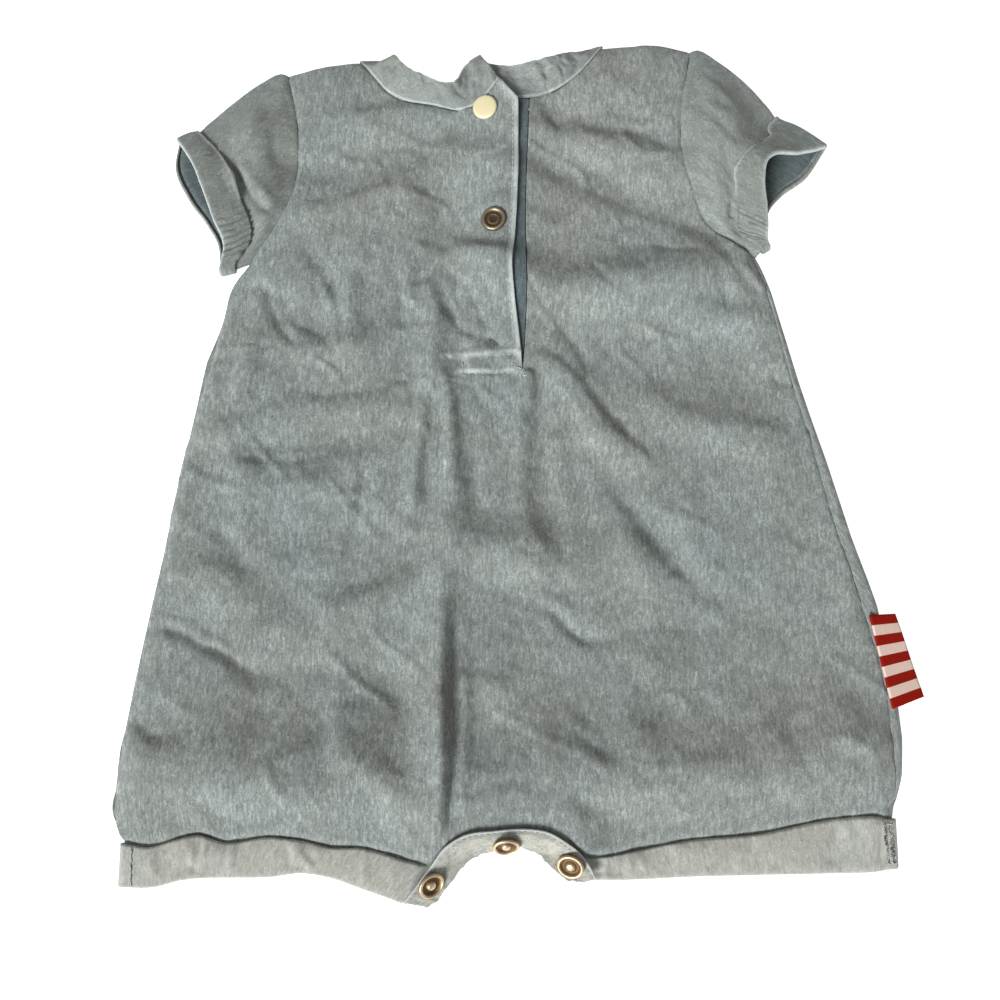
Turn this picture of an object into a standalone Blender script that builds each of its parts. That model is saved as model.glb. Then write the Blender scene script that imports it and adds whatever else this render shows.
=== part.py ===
"""A baby's short-sleeved romper in light denim, laid flat on its back.

Frame: metres, +Z up from the surface it lies on, +Y towards the collar, +X to
the viewer's right, origin at the middle of the outline on the surface.
Every size below is in millimetres, and every height is that of the middle of
the cloth wall. The pieces are the ones a maker cuts: front, back, sleeves,
turned-up cuffs, collar, placket underlap, crotch tapes, tab and snap caps.
"""
import math

import bmesh
import bpy
import numpy as np
from mathutils import Vector

MM = 0.001
WALL = 1.1              # cloth wall, with its nap and its hidden seam layers
GAP = 0.3               # clearance at every seam
SEAM_GAP = 0.75         # between a panel's edge and a sleeve's
COLLAR_GAP = 0.85       # between a panel's edge and the collar's
LAYER = WALL + GAP      # from the middle of one wall to the middle of the next
TURN = 1.7              # from a panel to the layer that is turned up over it

FLOOR_Z = WALL / 2                  # back panel, lying on the surface
RAISED_Z = FLOOR_Z + TURN           # back panel over a turned-up layer
HEM_Z = RAISED_Z + 1.55             # front panel under a leg cuff
SIDE_Z = FLOOR_Z + LAYER + 0.05     # front panel where it meets the back's edge
PLATEAU_Z = 5.2                     # front panel where no fold lifts it
SETTLE = 0.8                        # how softly the valleys come down on the back
TAPE_X = (-56.0, 38.0)              # between the two legs, where no cuff lies
TAPE_RISE = 1.9                     # from a panel to a strip that lies on it or under it
OVER_LIFT = 3.1                     # the left half over the placket's underlap
ARCH_LIFT = 6.8                     # the front at the top of the crotch's arch

SLEEVE_CUFF = 13.0                  # depth of a sleeve's turned-up cuff
SNAP_STEPS = 16                     # round a snap cap

# The front's outline. Rows go down a side or across the cloth, and a repeated
# station marks a corner.
LEFT_EDGE = (  # station, x, y: shoulder tip, armhole, underarm, side, cuff
    (0.00, -113.5, 185.5), (0.07, -108.3, 162.0), (0.13, -107.8, 142.0),
    (0.19, -111.0, 122.0), (0.23, -118.0, 108.0), (0.27, -128.5, 92.0),
    (0.27, -128.5, 92.0), (0.34, -138.0, 64.0), (0.43, -147.4, 32.0),
    (0.54, -156.7, -6.0), (0.65, -162.5, -43.5), (0.76, -168.9, -80.0),
    (0.87, -175.5, -122.0), (0.95, -179.0, -151.0), (0.985, -178.5, -168.0),
    (1.00, -173.2, -175.5),
)
RIGHT_EDGE = (
    (0.00, 85.0, 198.5), (0.06, 81.0, 176.0), (0.12, 79.6, 154.5),
    (0.19, 84.2, 130.0), (0.23, 92.3, 110.0), (0.26, 106.0, 99.0),
    (0.27, 113.6, 94.0), (0.27, 113.6, 94.0), (0.35, 121.4, 65.5),
    (0.44, 127.5, 34.0), (0.53, 135.3, 3.0), (0.63, 144.3, -34.5),
    (0.73, 154.1, -71.0), (0.83, 162.6, -106.3), (0.91, 164.7, -136.5),
    (0.98, 163.6, -160.0), (1.00, 161.0, -165.5),
)
OVER_EDGE = (  # the left half's slit edge, then the middle of the front
    (0.00, -9.0, 183.7), (0.03, -0.2, 173.0), (0.03, -0.2, 173.0),
    (0.13, -0.3, 135.5), (0.21, -1.8, 105.0), (0.25, -3.3, 90.0),
    (0.29, -2.4, 75.0), (0.34, -0.3, 57.0), (0.40, 1.8, 37.0),
    (0.40, 1.8, 37.0), (0.47, -8.0, 10.0), (0.59, -25.0, -35.0),
    (0.68, -28.5, -70.0), (0.82, -28.0, -115.0), (0.92, -29.5, -150.0),
    (1.00, -30.5, -174.5),
)
UNDER_EDGE = (  # the right half's slit edge, down to the slit's end
    (0.00, 5.7, 175.5), (0.05, 4.9, 158.0), (0.21, 3.5, 110.0),
    (0.30, 3.8, 72.0), (0.35, 3.0, 54.0), (0.40, 1.8, 37.0),
)
SLIT_END = 0.40
NECK_LEFT = (  # station, x, y: shoulder seam, neck point, neck seam
    (0.00, -113.5, 185.5), (0.15, -97.0, 189.8), (0.31, -76.5, 192.3),
    (0.31, -76.5, 192.3), (0.39, -70.4, 184.3), (0.47, -64.3, 176.8),
    (0.54, -57.5, 172.8), (0.67, -42.0, 170.3), (0.80, -27.5, 168.2),
    (0.89, -18.5, 171.8), (1.00, -9.0, 183.7),
)
NECK_RIGHT = (
    (0.00, 5.7, 175.5), (0.16, 20.4, 180.0), (0.26, 27.8, 185.6),
    (0.38, 34.6, 192.8), (0.52, 41.5, 200.6), (0.52, 41.5, 200.6),
    (0.70, 58.0, 201.6), (0.84, 70.0, 201.8), (1.00, 85.0, 198.5),
)
# The bend is the line along a cuff's free edge and the crotch tape's upper
# edge; the hem is the lowest line of the cloth.
HEM_LEFT = (  # station, bend x, bend y, hem x, hem y
    (0.00, -173.2, -175.5, -172.6, -195.0), (0.10, -162.0, -177.0, -160.0, -195.0),
    (0.20, -149.0, -173.5, -147.0, -192.0), (0.27, -141.0, -172.0, -138.0, -191.2),
    (0.36, -129.0, -175.3, -127.5, -191.0), (0.48, -110.0, -173.0, -109.0, -190.7),
    (0.57, -95.5, -174.5, -96.0, -189.2), (0.66, -82.5, -177.4, -83.0, -191.0),
    (0.75, -69.5, -177.6, -70.0, -195.2), (0.84, -56.5, -180.7, -58.0, -199.2),
    (0.90, -48.0, -183.2, -49.5, -201.8), (0.95, -39.5, -184.2, -39.0, -201.5),
    (1.00, -30.5, -174.5, -29.5, -192.0),
)
HEM_RIGHT = (
    (0.00, -30.5, -174.5, -29.5, -192.0), (0.05, -21.5, -170.9, -21.0, -183.5),
    (0.10, -9.0, -170.2, -9.0, -179.8), (0.16, 3.0, -169.4, 1.0, -179.0),
    (0.21, 11.5, -170.5, 8.0, -182.5), (0.26, 20.0, -174.3, 14.5, -187.8),
    (0.31, 29.0, -181.5, 24.0, -191.5), (0.36, 37.0, -181.2, 36.0, -191.9),
    (0.45, 52.0, -178.3, 52.0, -191.7), (0.55, 73.0, -174.5, 71.0, -190.7),
    (0.70, 104.0, -171.6, 104.0, -189.9), (0.84, 135.0, -165.6, 136.0, -189.2),
    (0.95, 156.0, -164.2, 154.0, -188.6), (1.00, 161.0, -165.5, 160.5, -187.5),
)
TAPE = (  # station, upper x, upper y, lower x, lower y: along the crotch's arch
    (0.00, -51.5, -199.4, -37.4, -202.0), (0.09, -45.3, -192.5, -35.0, -197.6),
    (0.18, -39.0, -184.3, -30.5, -193.3), (0.27, -32.8, -176.6, -26.8, -188.4),
    (0.36, -24.0, -171.6, -20.5, -183.8), (0.46, -12.0, -170.4, -12.0, -181.0),
    (0.58, 2.0, -169.6, -0.2, -179.8), (0.66, 11.0, -170.5, 6.8, -182.2),
    (0.75, 19.5, -174.2, 10.5, -186.0), (0.84, 26.5, -179.6, 15.5, -189.4),
    (0.93, 31.0, -185.8, 21.5, -191.8), (1.00, 32.6, -190.0, 27.0, -192.4),
)
ROLL = (  # y, x of the roll's outer face, radius: back panel at the right side
    (94.0, 114.6, 0.85), (86.0, 118.0, 1.4), (76.0, 121.2, 1.9), (52.0, 127.0, 2.3),
    (32.5, 131.8, 2.4), (13.0, 137.3, 2.4), (-6.0, 143.0, 2.4),
    (-24.5, 148.0, 2.4), (-43.0, 153.0, 2.4), (-61.5, 159.0, 2.4),
    (-73.0, 162.5, 2.4), (-88.5, 165.2, 2.4), (-106.5, 168.4, 2.4),
    (-132.5, 170.2, 2.4), (-148.0, 169.2, 2.1), (-157.0, 166.8, 1.5),
    (-163.0, 164.2, 1.0), (-167.0, 163.1, 0.8), (-190.0, 163.0, 0.775),
)
BACK_SLIP = ((92.0, 0.2), (58.0, 1.0), (42.0, 2.6), (22.0, 1.2), (0.0, 0.2))  # y, past the front

FOLDS = (  # height, width on a line's upper or right side, width on its other side, points
    # chest
    (1.9, 7.5, 10.8, ((-98, 163), (-75, 167), (-55, 169), (-34, 167))),
    (-3.7, 9.1, 9.4, ((-106, 140), (-88, 139), (-70, 145), (-54, 150), (-40, 158), (-26, 162))),
    (-2.5, 13.3, 7.5, ((-50, 139), (-42, 128), (-34, 116), (-38, 104))),
    (-2.8, 11.0, 7.5, ((14, 168), (36, 163), (59, 160), (76, 152))),
    (2.3, 10.1, 13.1, ((10, 157), (30, 155), (50, 148), (66, 140), (78, 140))),
    (-3.4, 12.0, 7.5, ((6, 145), (20, 139), (39, 131), (57, 122), (77, 115), (92, 108))),
    # waist
    (2.6, 11.0, 20.8, ((-36, 94), (-20, 94), (-4, 91))),
    (-2.6, 12.9, 9.0, ((-36, 94), (-28, 82), (-27, 71), (-19, 64), (-7, 55), (-1, 52))),
    (3.4, 7.5, 7.5, ((-42, 77), (-40, 60), (-41, 42), (-41, 25), (-43, 8), (-47, -12), (-52, -34))),
    (2.4, 10.4, 7.5, ((-76, 98), (-79, 85), (-81, 70), (-80, 55), (-81, 44))),
    (6.9, 12.3, 12.9, ((6, 81), (30, 75), (60, 82), (90, 88), (106, 86))),
    (-4.0, 11.9, 19.6, ((30, 54), (60, 51), (90, 44), (120, 36))),
    (2.4, 8.8, 7.5, ((-111, 50), (-98, 47), (-84, 47), (-66, 51))),
    (2.7, 7.5, 7.5, ((-128, 50), (-130, 36), (-133, 20))),
    # hips
    (3.1, 7.5, 7.5, ((-33, 32), (-31, 15), (-31, 0), (-31, -16), (-37, -30))),
    (5.3, 14.2, 10.8, ((-26, -44), (-10, -48), (8, -51), (19, -54))),
    (2.3, 8.8, 8.5, ((58, 22), (80, 12), (101, 7), (125, -6))),
    (3.4, 7.5, 8.8, ((16, 46), (29, 27), (36, 10), (49, -1), (62, -7))),
    (3.5, 11.6, 9.6, ((44, -36), (52, -50), (58, -62))),
    (3.3, 7.5, 10.0, ((-90, -84), (-78, -74), (-62, -67), (-46, -60))),
    (3.0, 8.8, 7.5, ((-132, 2), (-129, -10), (-128, -22))),
    (2.5, 7.5, 7.5, ((-112, -20), (-100, -19), (-88, -14))),
    (2.3, 7.9, 7.5, ((-150, 4), (-142, 5), (-132, 6))),
    # legs, and above the cuffs
    (5.3, 11.1, 9.4, ((-32, -26), (-32, -50), (-33, -80), (-32, -105), (-37, -130), (-36, -150), (-37, -166))),
    (-3.4, 10.0, 7.5, ((-30, -52), (-27, -80), (-27, -105), (-23, -130), (-28, -150), (-30, -172))),
    (-2.3, 7.5, 7.5, ((-162, -81), (-148, -83), (-136, -90), (-123, -102), (-110, -105))),
    (-2.2, 9.6, 7.5, ((-172, -120), (-160, -129), (-150, -130))),
    (3.4, 13.1, 7.5, ((-81, -115), (-79, -129), (-75, -145))),
    (3.4, 12.9, 7.5, ((-67, -143), (-56, -152), (-49, -165), (-42, -176))),
    (7.5, 23.7, 17.3, ((-176, -149), (-140, -146), (-100, -150), (-60, -154))),
    (7.5, 26.0, 15.5, ((-22, -153), (20, -149), (70, -148), (119, -143), (160, -138))),
    (2.1, 10.1, 23.3, ((-16, -104), (-23, -125), (-24, -150), (-26, -168))),
    (-2.3, 8.7, 7.6, ((-64, -102), (-55, -109), (-51, -122))),
    (2.7, 10.2, 7.5, ((140, -132), (152, -131), (162, -131))),
)
PLACKET_SNAPS = ((-16.0, 169.2), (-11.9, 110.9))
CROTCH_SNAPS = ((-38.6, -192.6), (-6.4, -175.6), (21.6, -184.6))
SNAP_LIFT = {"snap_placket_1": 0.7, "snap_placket_2": 0.3}  # over thicker layers

DENIM = (0.27, 0.34, 0.34, 1)
WRONG_SIDE = (0.42, 0.45, 0.43, 1)
BRASS = (0.55, 0.45, 0.30, 1)
RIBBON = (0.60, 0.12, 0.08, 1)


def smooth(start, end, value):
    """0 before start, 1 after end, and an S curve between them."""
    part = np.clip((value - start) / (end - start), 0, 1)
    return part * part * (3 - 2 * part)


def through(rows, station):
    """Smooth curves through a table's columns at the given stations. A repeated station is a corner."""
    rows = np.array(rows, float)
    station = np.asarray(station, float)
    corners = [i + 1 for i in range(len(rows) - 1) if rows[i, 0] == rows[i + 1, 0]]
    found = np.zeros(station.shape + (rows.shape[1] - 1,))
    for first, last in zip([0] + corners, corners + [len(rows)]):
        run = rows[first:last]
        inside = (station >= run[0, 0]) & (station <= run[-1, 0])
        if first == 0:
            inside |= station < run[0, 0]
        if last == len(rows):
            inside |= station > run[-1, 0]
        at = np.clip(station[inside], run[0, 0], run[-1, 0])
        cell = np.clip(np.searchsorted(run[:, 0], at, side="right") - 1, 0, len(run) - 2)
        slope = np.gradient(run[:, 1:], run[:, 0], axis=0)
        step = (run[cell + 1, 0] - run[cell, 0])[:, None]
        part = ((at - run[cell, 0]) / step[:, 0])[:, None]
        found[inside] = (
            (2 * part**3 - 3 * part**2 + 1) * run[cell, 1:]
            + (part**3 - 2 * part**2 + part) * step * slope[cell]
            + (3 * part**2 - 2 * part**3) * run[cell + 1, 1:]
            + (part**3 - part**2) * step * slope[cell + 1]
        )
    return found


def coons(u, v, left, right, top, bottom):
    """Points inside four edges. u runs across and v down; each edge is a function of its own station."""
    one, zero = np.ones_like(u), np.zeros_like(u)
    across = (1 - u)[..., None] * left(v) + u[..., None] * right(v)
    down = (1 - v)[..., None] * top(u) + v[..., None] * bottom(u)
    corners = (
        ((1 - u) * (1 - v))[..., None] * top(zero)
        + (u * (1 - v))[..., None] * top(one)
        + ((1 - u) * v)[..., None] * bottom(zero)
        + (u * v)[..., None] * bottom(one)
    )
    return across + down - corners


def nearest(x, y, line):
    """Distance to a line of points, the share of the line passed, and its side, from -1 to 1 on its left."""
    line = np.array(line, float)
    lengths = np.hypot(*(line[1:] - line[:-1]).T)
    best = np.full(np.shape(x), 1e9)
    share = np.zeros(np.shape(x))
    side = np.zeros(np.shape(x))
    passed = 0.0
    for start, end, length in zip(line[:-1], line[1:], lengths):
        way = (end - start) / length
        along = np.clip((x - start[0]) * way[0] + (y - start[1]) * way[1], 0, length)
        off_x = x - start[0] - along * way[0]
        off_y = y - start[1] - along * way[1]
        distance = np.hypot(off_x, off_y)
        closer = distance < best
        best = np.where(closer, distance, best)
        share = np.where(closer, (passed + along) / lengths.sum(), share)
        side = np.where(closer, (way[0] * off_y - way[1] * off_x) / (distance + 1e-6), side)
        passed += length
    return best, share, side


def fold_heights(x, y):
    """The sum of the folds: each is a soft ridge or trough that sinks towards its ends."""
    total = np.zeros(np.shape(x))
    for height, far_width, near_width, line in FOLDS:
        distance, share, side = nearest(x, y, line)
        width = near_width + (far_width - near_width) * (side + 1) / 2
        total += height * np.exp(-(distance / width) ** 2) * (1 - 0.6 * np.abs(2 * share - 1) ** 3)
    return total


def bend_y(x):
    """The height on the page of the line along the cuffs' free edges and the tape's upper edge."""
    rows = sorted((row[1], row[2]) for row in HEM_LEFT + HEM_RIGHT[1:])
    xs, ys = zip(*rows)
    return np.interp(x, xs, ys)


def roll_flat_end(y):
    """Where the back panel leaves the surface and starts to roll, and the roll's radius."""
    ys, xs, radii = zip(*reversed(ROLL))
    radius = np.interp(y, ys, radii)
    return np.interp(y, ys, xs) - WALL / 2 - radius, radius


def roll_turn(y):
    """The angle through which the roll climbs before it meets the front's edge, from straight down."""
    side = through(RIGHT_EDGE, np.linspace(0.27, 1, 80))
    center, radius = roll_flat_end(y)
    seam = np.interp(y, side[::-1, 1], side[::-1, 0]) + GAP + 0.15
    return math.pi / 2 + np.arccos(np.clip((seam - center) / radius, 0, 1))


def slit_x(y):
    """The middle of the placket's slit."""
    ys = (37.0, 57.0, 75.0, 90.0, 105.0, 135.0, 173.0)
    xs = (1.8, 1.4, 0.7, 0.3, 0.9, 1.9, 2.8)
    return np.interp(y, ys, xs)


def back_z(x, y):
    """Middle of the back panel: flat on the surface, and one layer up over the turned-up cuffs."""
    over_cuff = smooth(TAPE_X[0] + 6, TAPE_X[0], x) + smooth(TAPE_X[1] - 6, TAPE_X[1], x)
    return FLOOR_Z + TURN * over_cuff * smooth(4.5, 0.5, y - bend_y(x))


def drape_z(x, y):
    """The front panel's folds, kept clear of the back panel and of the placket's underlap."""
    over_lap = smooth(-32, -24, x) * smooth(8, 4, x) * smooth(16, 22, y)
    lowest = SIDE_Z + 0.4 + 1.2 * over_lap
    folds = fold_heights(x, y) * (1 - 0.4 * over_lap)
    for snap_x, snap_y in PLACKET_SNAPS:
        folds *= smooth(7, 17, np.hypot(x - snap_x, y - snap_y))
    return lowest + SETTLE * np.logaddexp(0, (PLATEAU_Z + folds - lowest) / SETTLE)


def in_arch(x):
    """1 under the crotch tape's arch, and 0 under the leg cuffs."""
    return smooth(-43, -29, x) * smooth(30, 17, x)


def over_lift(x, y):
    """How far the left half stands up along the placket's slit."""
    from_slit = np.abs(x - slit_x(y))
    return OVER_LIFT * smooth(37.0, 54.0, y) * smooth(34, 6, from_slit)


def front_z(x, y):
    """Middle of the front panel."""
    z = drape_z(x, y)
    over = x < slit_x(y)
    fade = smooth(37.0, 54.0, y)
    under_lift = (OVER_LIFT - TAPE_RISE) * fade * smooth(18, 0, x - slit_x(y))
    corner_lift = 1.4 * smooth(160, 176, y) * smooth(30, 8, np.abs(x - slit_x(y)))
    z += np.where(over, over_lift(x, y) + corner_lift, under_lift)
    for edge in (NECK_LEFT[:3], NECK_RIGHT[5:]):
        away, _, _ = nearest(x, y, [row[1:] for row in edge])
        z = SIDE_Z + (z - SIDE_Z) * (1 - np.exp(-away / 6.0))
    away, _, _ = nearest(x, y, [row[1:] for row in LEFT_EDGE[6:15]])
    z = SIDE_Z + (z - SIDE_Z) * (1 - np.exp(-away / 5.0))
    away, _, _ = nearest(x, y, [row[1:] for row in RIGHT_EDGE[7:]])
    radius = roll_flat_end(y)[1]
    roll_top = np.maximum(back_z(x, y) + radius - radius * np.cos(roll_turn(y)), SIDE_Z)
    z = roll_top + (z - roll_top) * (1 - np.exp(-away / 7.0))
    above_bend = y - bend_y(x)
    hem_level = HEM_Z + ARCH_LIFT * in_arch(x) * smooth(-11, -1, above_bend)
    return hem_level + (z - hem_level) * smooth(0.0, 6.0, above_bend)


def cloth(name, collection, grids, closed=False, wall=WALL):
    """A cloth piece: grids whose vertices a function places, joined where they meet, with a wall."""
    mesh = bmesh.new()
    for columns, rows, place in grids:
        made = bmesh.ops.create_grid(mesh, x_segments=columns, y_segments=rows, size=0.5)
        verts = made["verts"]
        u = np.array([vert.co.x + 0.5 for vert in verts])
        v = np.array([0.5 - vert.co.y for vert in verts])
        for vert, point in zip(verts, place(u, v)):
            vert.co = Vector(point) * MM
    if closed or len(grids) > 1:
        bmesh.ops.remove_doubles(mesh, verts=mesh.verts, dist=0.00002)
    bmesh.ops.recalc_face_normals(mesh, faces=mesh.faces)
    return finish(name, collection, mesh, wall)


def finish(name, collection, mesh, wall):
    """Turns a bmesh into a smooth-shaded object in the collection, with a wall when one is asked for."""
    data = bpy.data.meshes.new(name)
    mesh.to_mesh(data)
    mesh.free()
    data.shade_smooth()
    piece = bpy.data.objects.new(name, data)
    collection.objects.link(piece)
    if wall:
        solid = piece.modifiers.new("wall", "SOLIDIFY")
        solid.thickness = wall * MM
        solid.offset = 0
    return piece


def paint(piece, color, roughness=0.9, metallic=0.0):
    """Gives a piece its own plain material."""
    material = bpy.data.materials.new(piece.name)
    material.use_nodes = True
    shader = material.node_tree.nodes["Principled BSDF"]
    shader.inputs["Base Color"].default_value = color
    shader.inputs["Roughness"].default_value = roughness
    shader.inputs["Metallic"].default_value = metallic
    piece.data.materials.append(material)


def stacked(plan, z):
    """Joins plan points and heights into x, y, z rows."""
    return np.concatenate([plan, z[..., None]], axis=-1)


# Rows of the front and back: a row at the underarm and at the slit's end, closer rows
# just above the bend, then the hem's own.
ROW_STATIONS = np.concatenate([
    np.linspace(0, 0.27, 11)[:-1],
    np.linspace(0.27, SLIT_END, 7)[:-1],
    np.linspace(SLIT_END, 0.955, 15)[:-1],
    (0.955, 0.974, 0.988, 1.0, 1.33, 1.67, 2.0),
])
BACK_STATIONS = np.concatenate([
    np.linspace(0, 0.27, 9)[:-1],
    np.linspace(0.27, SLIT_END, 5)[:-1],
    np.linspace(SLIT_END, 0.955, 10)[:-1],
    (0.955, 0.974, 0.988, 1.0, 1.5, 2.0),
])
UNDERARM_ROW = 8
LEFT_COLUMNS = 18           # of the front's left half, and of its right half
RIGHT_COLUMNS = 19
BACK_COLUMNS = (0, 0.1, 0.19, 0.28, 0.361, 0.387, 0.43, 0.5, 0.56, 0.612, 0.64, 0.73, 0.83, 0.92, 1)
PANEL_END = 2.8             # the panels stop this far above a cuff's lowest line


def picked(stations, part):
    """The station at a share of a list: 0 is its first and 1 its last."""
    return np.interp(part * (len(stations) - 1), np.arange(len(stations)), stations)


def panel_point(u, station, left, right, top, hem, short=0.0):
    """Plan position in a panel: inside its outline above the bend, straight from bend to hem below."""
    above = coons(
        u, np.minimum(station, 1.0), left, right,
        lambda part: through(top, part),
        lambda part: through(hem, part)[..., :2],
    )
    line = through(hem, u)
    bend, end = line[..., :2], line[..., 2:]
    way = end - bend
    end = end - way / np.linalg.norm(way, axis=-1, keepdims=True) * (PANEL_END + short)
    below = np.clip(station - 1, 0, 1)[..., None]
    return np.where((station > 1)[..., None], bend + (end - bend) * below, above)


def build_front(collection):
    """Front: one piece with a slit at the neck, made of a left and a right grid."""
    slit_end = [row[0] for row in OVER_EDGE].index(SLIT_END) + 1
    under_edge = UNDER_EDGE + OVER_EDGE[slit_end:]

    def left_half(u, v):
        plan = panel_point(
            u, picked(ROW_STATIONS, v), lambda part: through(LEFT_EDGE, part),
            lambda part: through(OVER_EDGE, part), NECK_LEFT, HEM_LEFT,
        )
        return stacked(plan, front_z(plan[:, 0], plan[:, 1]))

    def right_half(u, v):
        plan = panel_point(
            u, picked(ROW_STATIONS, v), lambda part: through(under_edge, part),
            lambda part: through(RIGHT_EDGE, part), NECK_RIGHT, HEM_RIGHT,
        )
        return stacked(plan, front_z(plan[:, 0], plan[:, 1]))

    rows = len(ROW_STATIONS) - 1
    piece = cloth(
        "front", collection,
        ((LEFT_COLUMNS, rows, left_half), (RIGHT_COLUMNS, rows, right_half)),
    )
    paint(piece, DENIM)


ROLL_SHARE = 5 / 7      # of the roll's columns, those in its half turn
BACK_NECK = (  # station, x, y: left shoulder, neck seam, right shoulder
    (0.00, -113.5, 186.5), (0.10, -97.0, 190.8), (0.20, -77.5, 193.4),
    (0.20, -77.5, 193.4), (0.27, -68.0, 180.5), (0.36, -50.0, 172.3),
    (0.48, -18.0, 170.0), (0.60, 12.0, 174.5), (0.69, 31.0, 187.0),
    (0.77, 42.5, 202.0), (0.77, 42.5, 202.0), (0.88, 62.0, 203.0), (1.00, 85.0, 199.5),
)
HEM_MIDDLE = 0.43   # station where the back's left and right hem rows meet


def back_hem():
    """The back's bend and hem rows from side to side, ending at the right side's roll."""
    rows = [(row[0] * HEM_MIDDLE,) + row[1:] for row in HEM_LEFT]
    rows += [(HEM_MIDDLE + row[0] * (1 - HEM_MIDDLE),) + row[1:] for row in HEM_RIGHT[1:-1]]
    bend_x, _ = roll_flat_end(-165.5)
    hem_x, _ = roll_flat_end(-187.5)
    return rows + [(1.0, bend_x, -165.5, hem_x, -187.5)]


def build_back(collection):
    """Back: flat on the surface, rolled up and over at the right side to meet the front there."""
    def left_edge(part):
        edge = through(LEFT_EDGE, part)
        ys, slips = zip(*reversed(BACK_SLIP))
        edge[..., 0] -= np.interp(edge[..., 1], ys, slips) * smooth(0.27, 0.30, part)
        return edge

    def right_edge(part):
        edge = through(RIGHT_EDGE, part)
        rolled = smooth(0.25, 0.27, part)
        edge[..., 0] += (roll_flat_end(edge[..., 1])[0] - edge[..., 0]) * rolled
        return edge

    hem = back_hem()

    def flat(u, v):
        plan = panel_point(
            picked(BACK_COLUMNS, u), picked(BACK_STATIONS, v),
            left_edge, right_edge, BACK_NECK, hem, short=1.0,
        )
        return stacked(plan, back_z(plan[:, 0], plan[:, 1]))

    roll_rows = BACK_STATIONS[UNDERARM_ROW:]

    def roll(u, v):
        station = picked(roll_rows, v)
        edge = panel_point(
            np.ones_like(u), station, left_edge, right_edge, BACK_NECK, hem, short=1.0,
        )
        front_edge = panel_point(
            np.ones_like(u), station, left_edge,
            lambda part: through(RIGHT_EDGE, part), NECK_RIGHT, HEM_RIGHT, short=1.0,
        )
        radius = roll_flat_end(edge[:, 1])[1]
        floor = back_z(edge[:, 0], edge[:, 1])
        turn = np.minimum(u / ROLL_SHARE, 1) * roll_turn(edge[:, 1])
        run = np.clip((u - ROLL_SHARE) / (1 - ROLL_SHARE), 0, 1)
        x = edge[:, 0] + radius * np.sin(turn)
        x += np.minimum(front_edge[:, 0] + GAP + 0.15 - x, 0) * run
        y = edge[:, 1] + (front_edge[:, 1] - edge[:, 1]) * u
        return np.stack([x, y, floor + radius - radius * np.cos(turn)], axis=-1)

    grids = ((len(BACK_COLUMNS) - 1, len(BACK_STATIONS) - 1, flat), (7, len(roll_rows) - 1, roll))
    piece = cloth("back", collection, grids)
    paint(piece, DENIM)


def build_underlap(collection):
    """Placket underlap: a strip sewn to the right slit edge that passes under the left half."""
    top, bottom, inner = 174.6, 26.0, -19.5
    edge = through(UNDER_EDGE, np.linspace(SLIT_END, 0, 40))

    def strip(u, v):
        y = top + (bottom - top) * v
        seam = np.interp(y, edge[:, 1], edge[:, 0]) - 0.5
        x = seam + (inner - seam) * u
        under = np.minimum(x, slit_x(y) - 0.1)
        return np.stack([x, y, drape_z(under, y) + over_lift(under, y) - TAPE_RISE], axis=-1)

    piece = cloth("placket_underlap", collection, ((4, 24, strip),))
    paint(piece, DENIM)


def tape_plan(station, part):
    """A point of the crotch tape: part 0 is its upper edge and part 1 its lower edge."""
    line = through(TAPE, station)
    return line[..., :2] + (line[..., 2:] - line[..., :2]) * part[..., None]


def tape_z(x, y):
    """Middle of the front crotch tape, a little further off the front where that is steep."""
    return front_z(x, y) + TAPE_RISE + 0.9 * in_arch(x)


def build_tapes(collection):
    """Crotch snap tapes: the front one on the front panel, the back one on the back's inner face."""
    def front_tape(u, v):
        plan = tape_plan(u, 0.07 + 0.93 * v)
        return stacked(plan, tape_z(plan[:, 0], plan[:, 1]))

    def back_tape(u, v):
        plan = tape_plan(0.17 + 0.68 * u, 0.12 + 0.83 * v)
        return stacked(plan, back_z(plan[:, 0], plan[:, 1]) + LAYER + 0.05)

    for name, place in (("crotch_tape_front", front_tape), ("crotch_tape_back", back_tape)):
        paint(cloth(name, collection, ((16, 3, place),)), WRONG_SIDE)


LIP_SHARE = 4 / 7       # of a turned-up band's rows, those in its half turn
CUFF_ROWS = 7


def turned_up(part, length):
    """A turned-up band's section: distance from its lowest line, and rise from the panel it covers.

    It starts as a lip in the panel's own plane, turns round, and runs back over the panel."""
    radius = TURN / 2
    angle = np.minimum(part / LIP_SHARE, 1) * math.pi
    run = np.clip((part - LIP_SHARE) / (1 - LIP_SHARE), 0, 1)
    start = radius + WALL / 2
    back = start - radius * np.sin(angle) + run * (length - start)
    return back, radius - radius * np.cos(angle)


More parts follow.
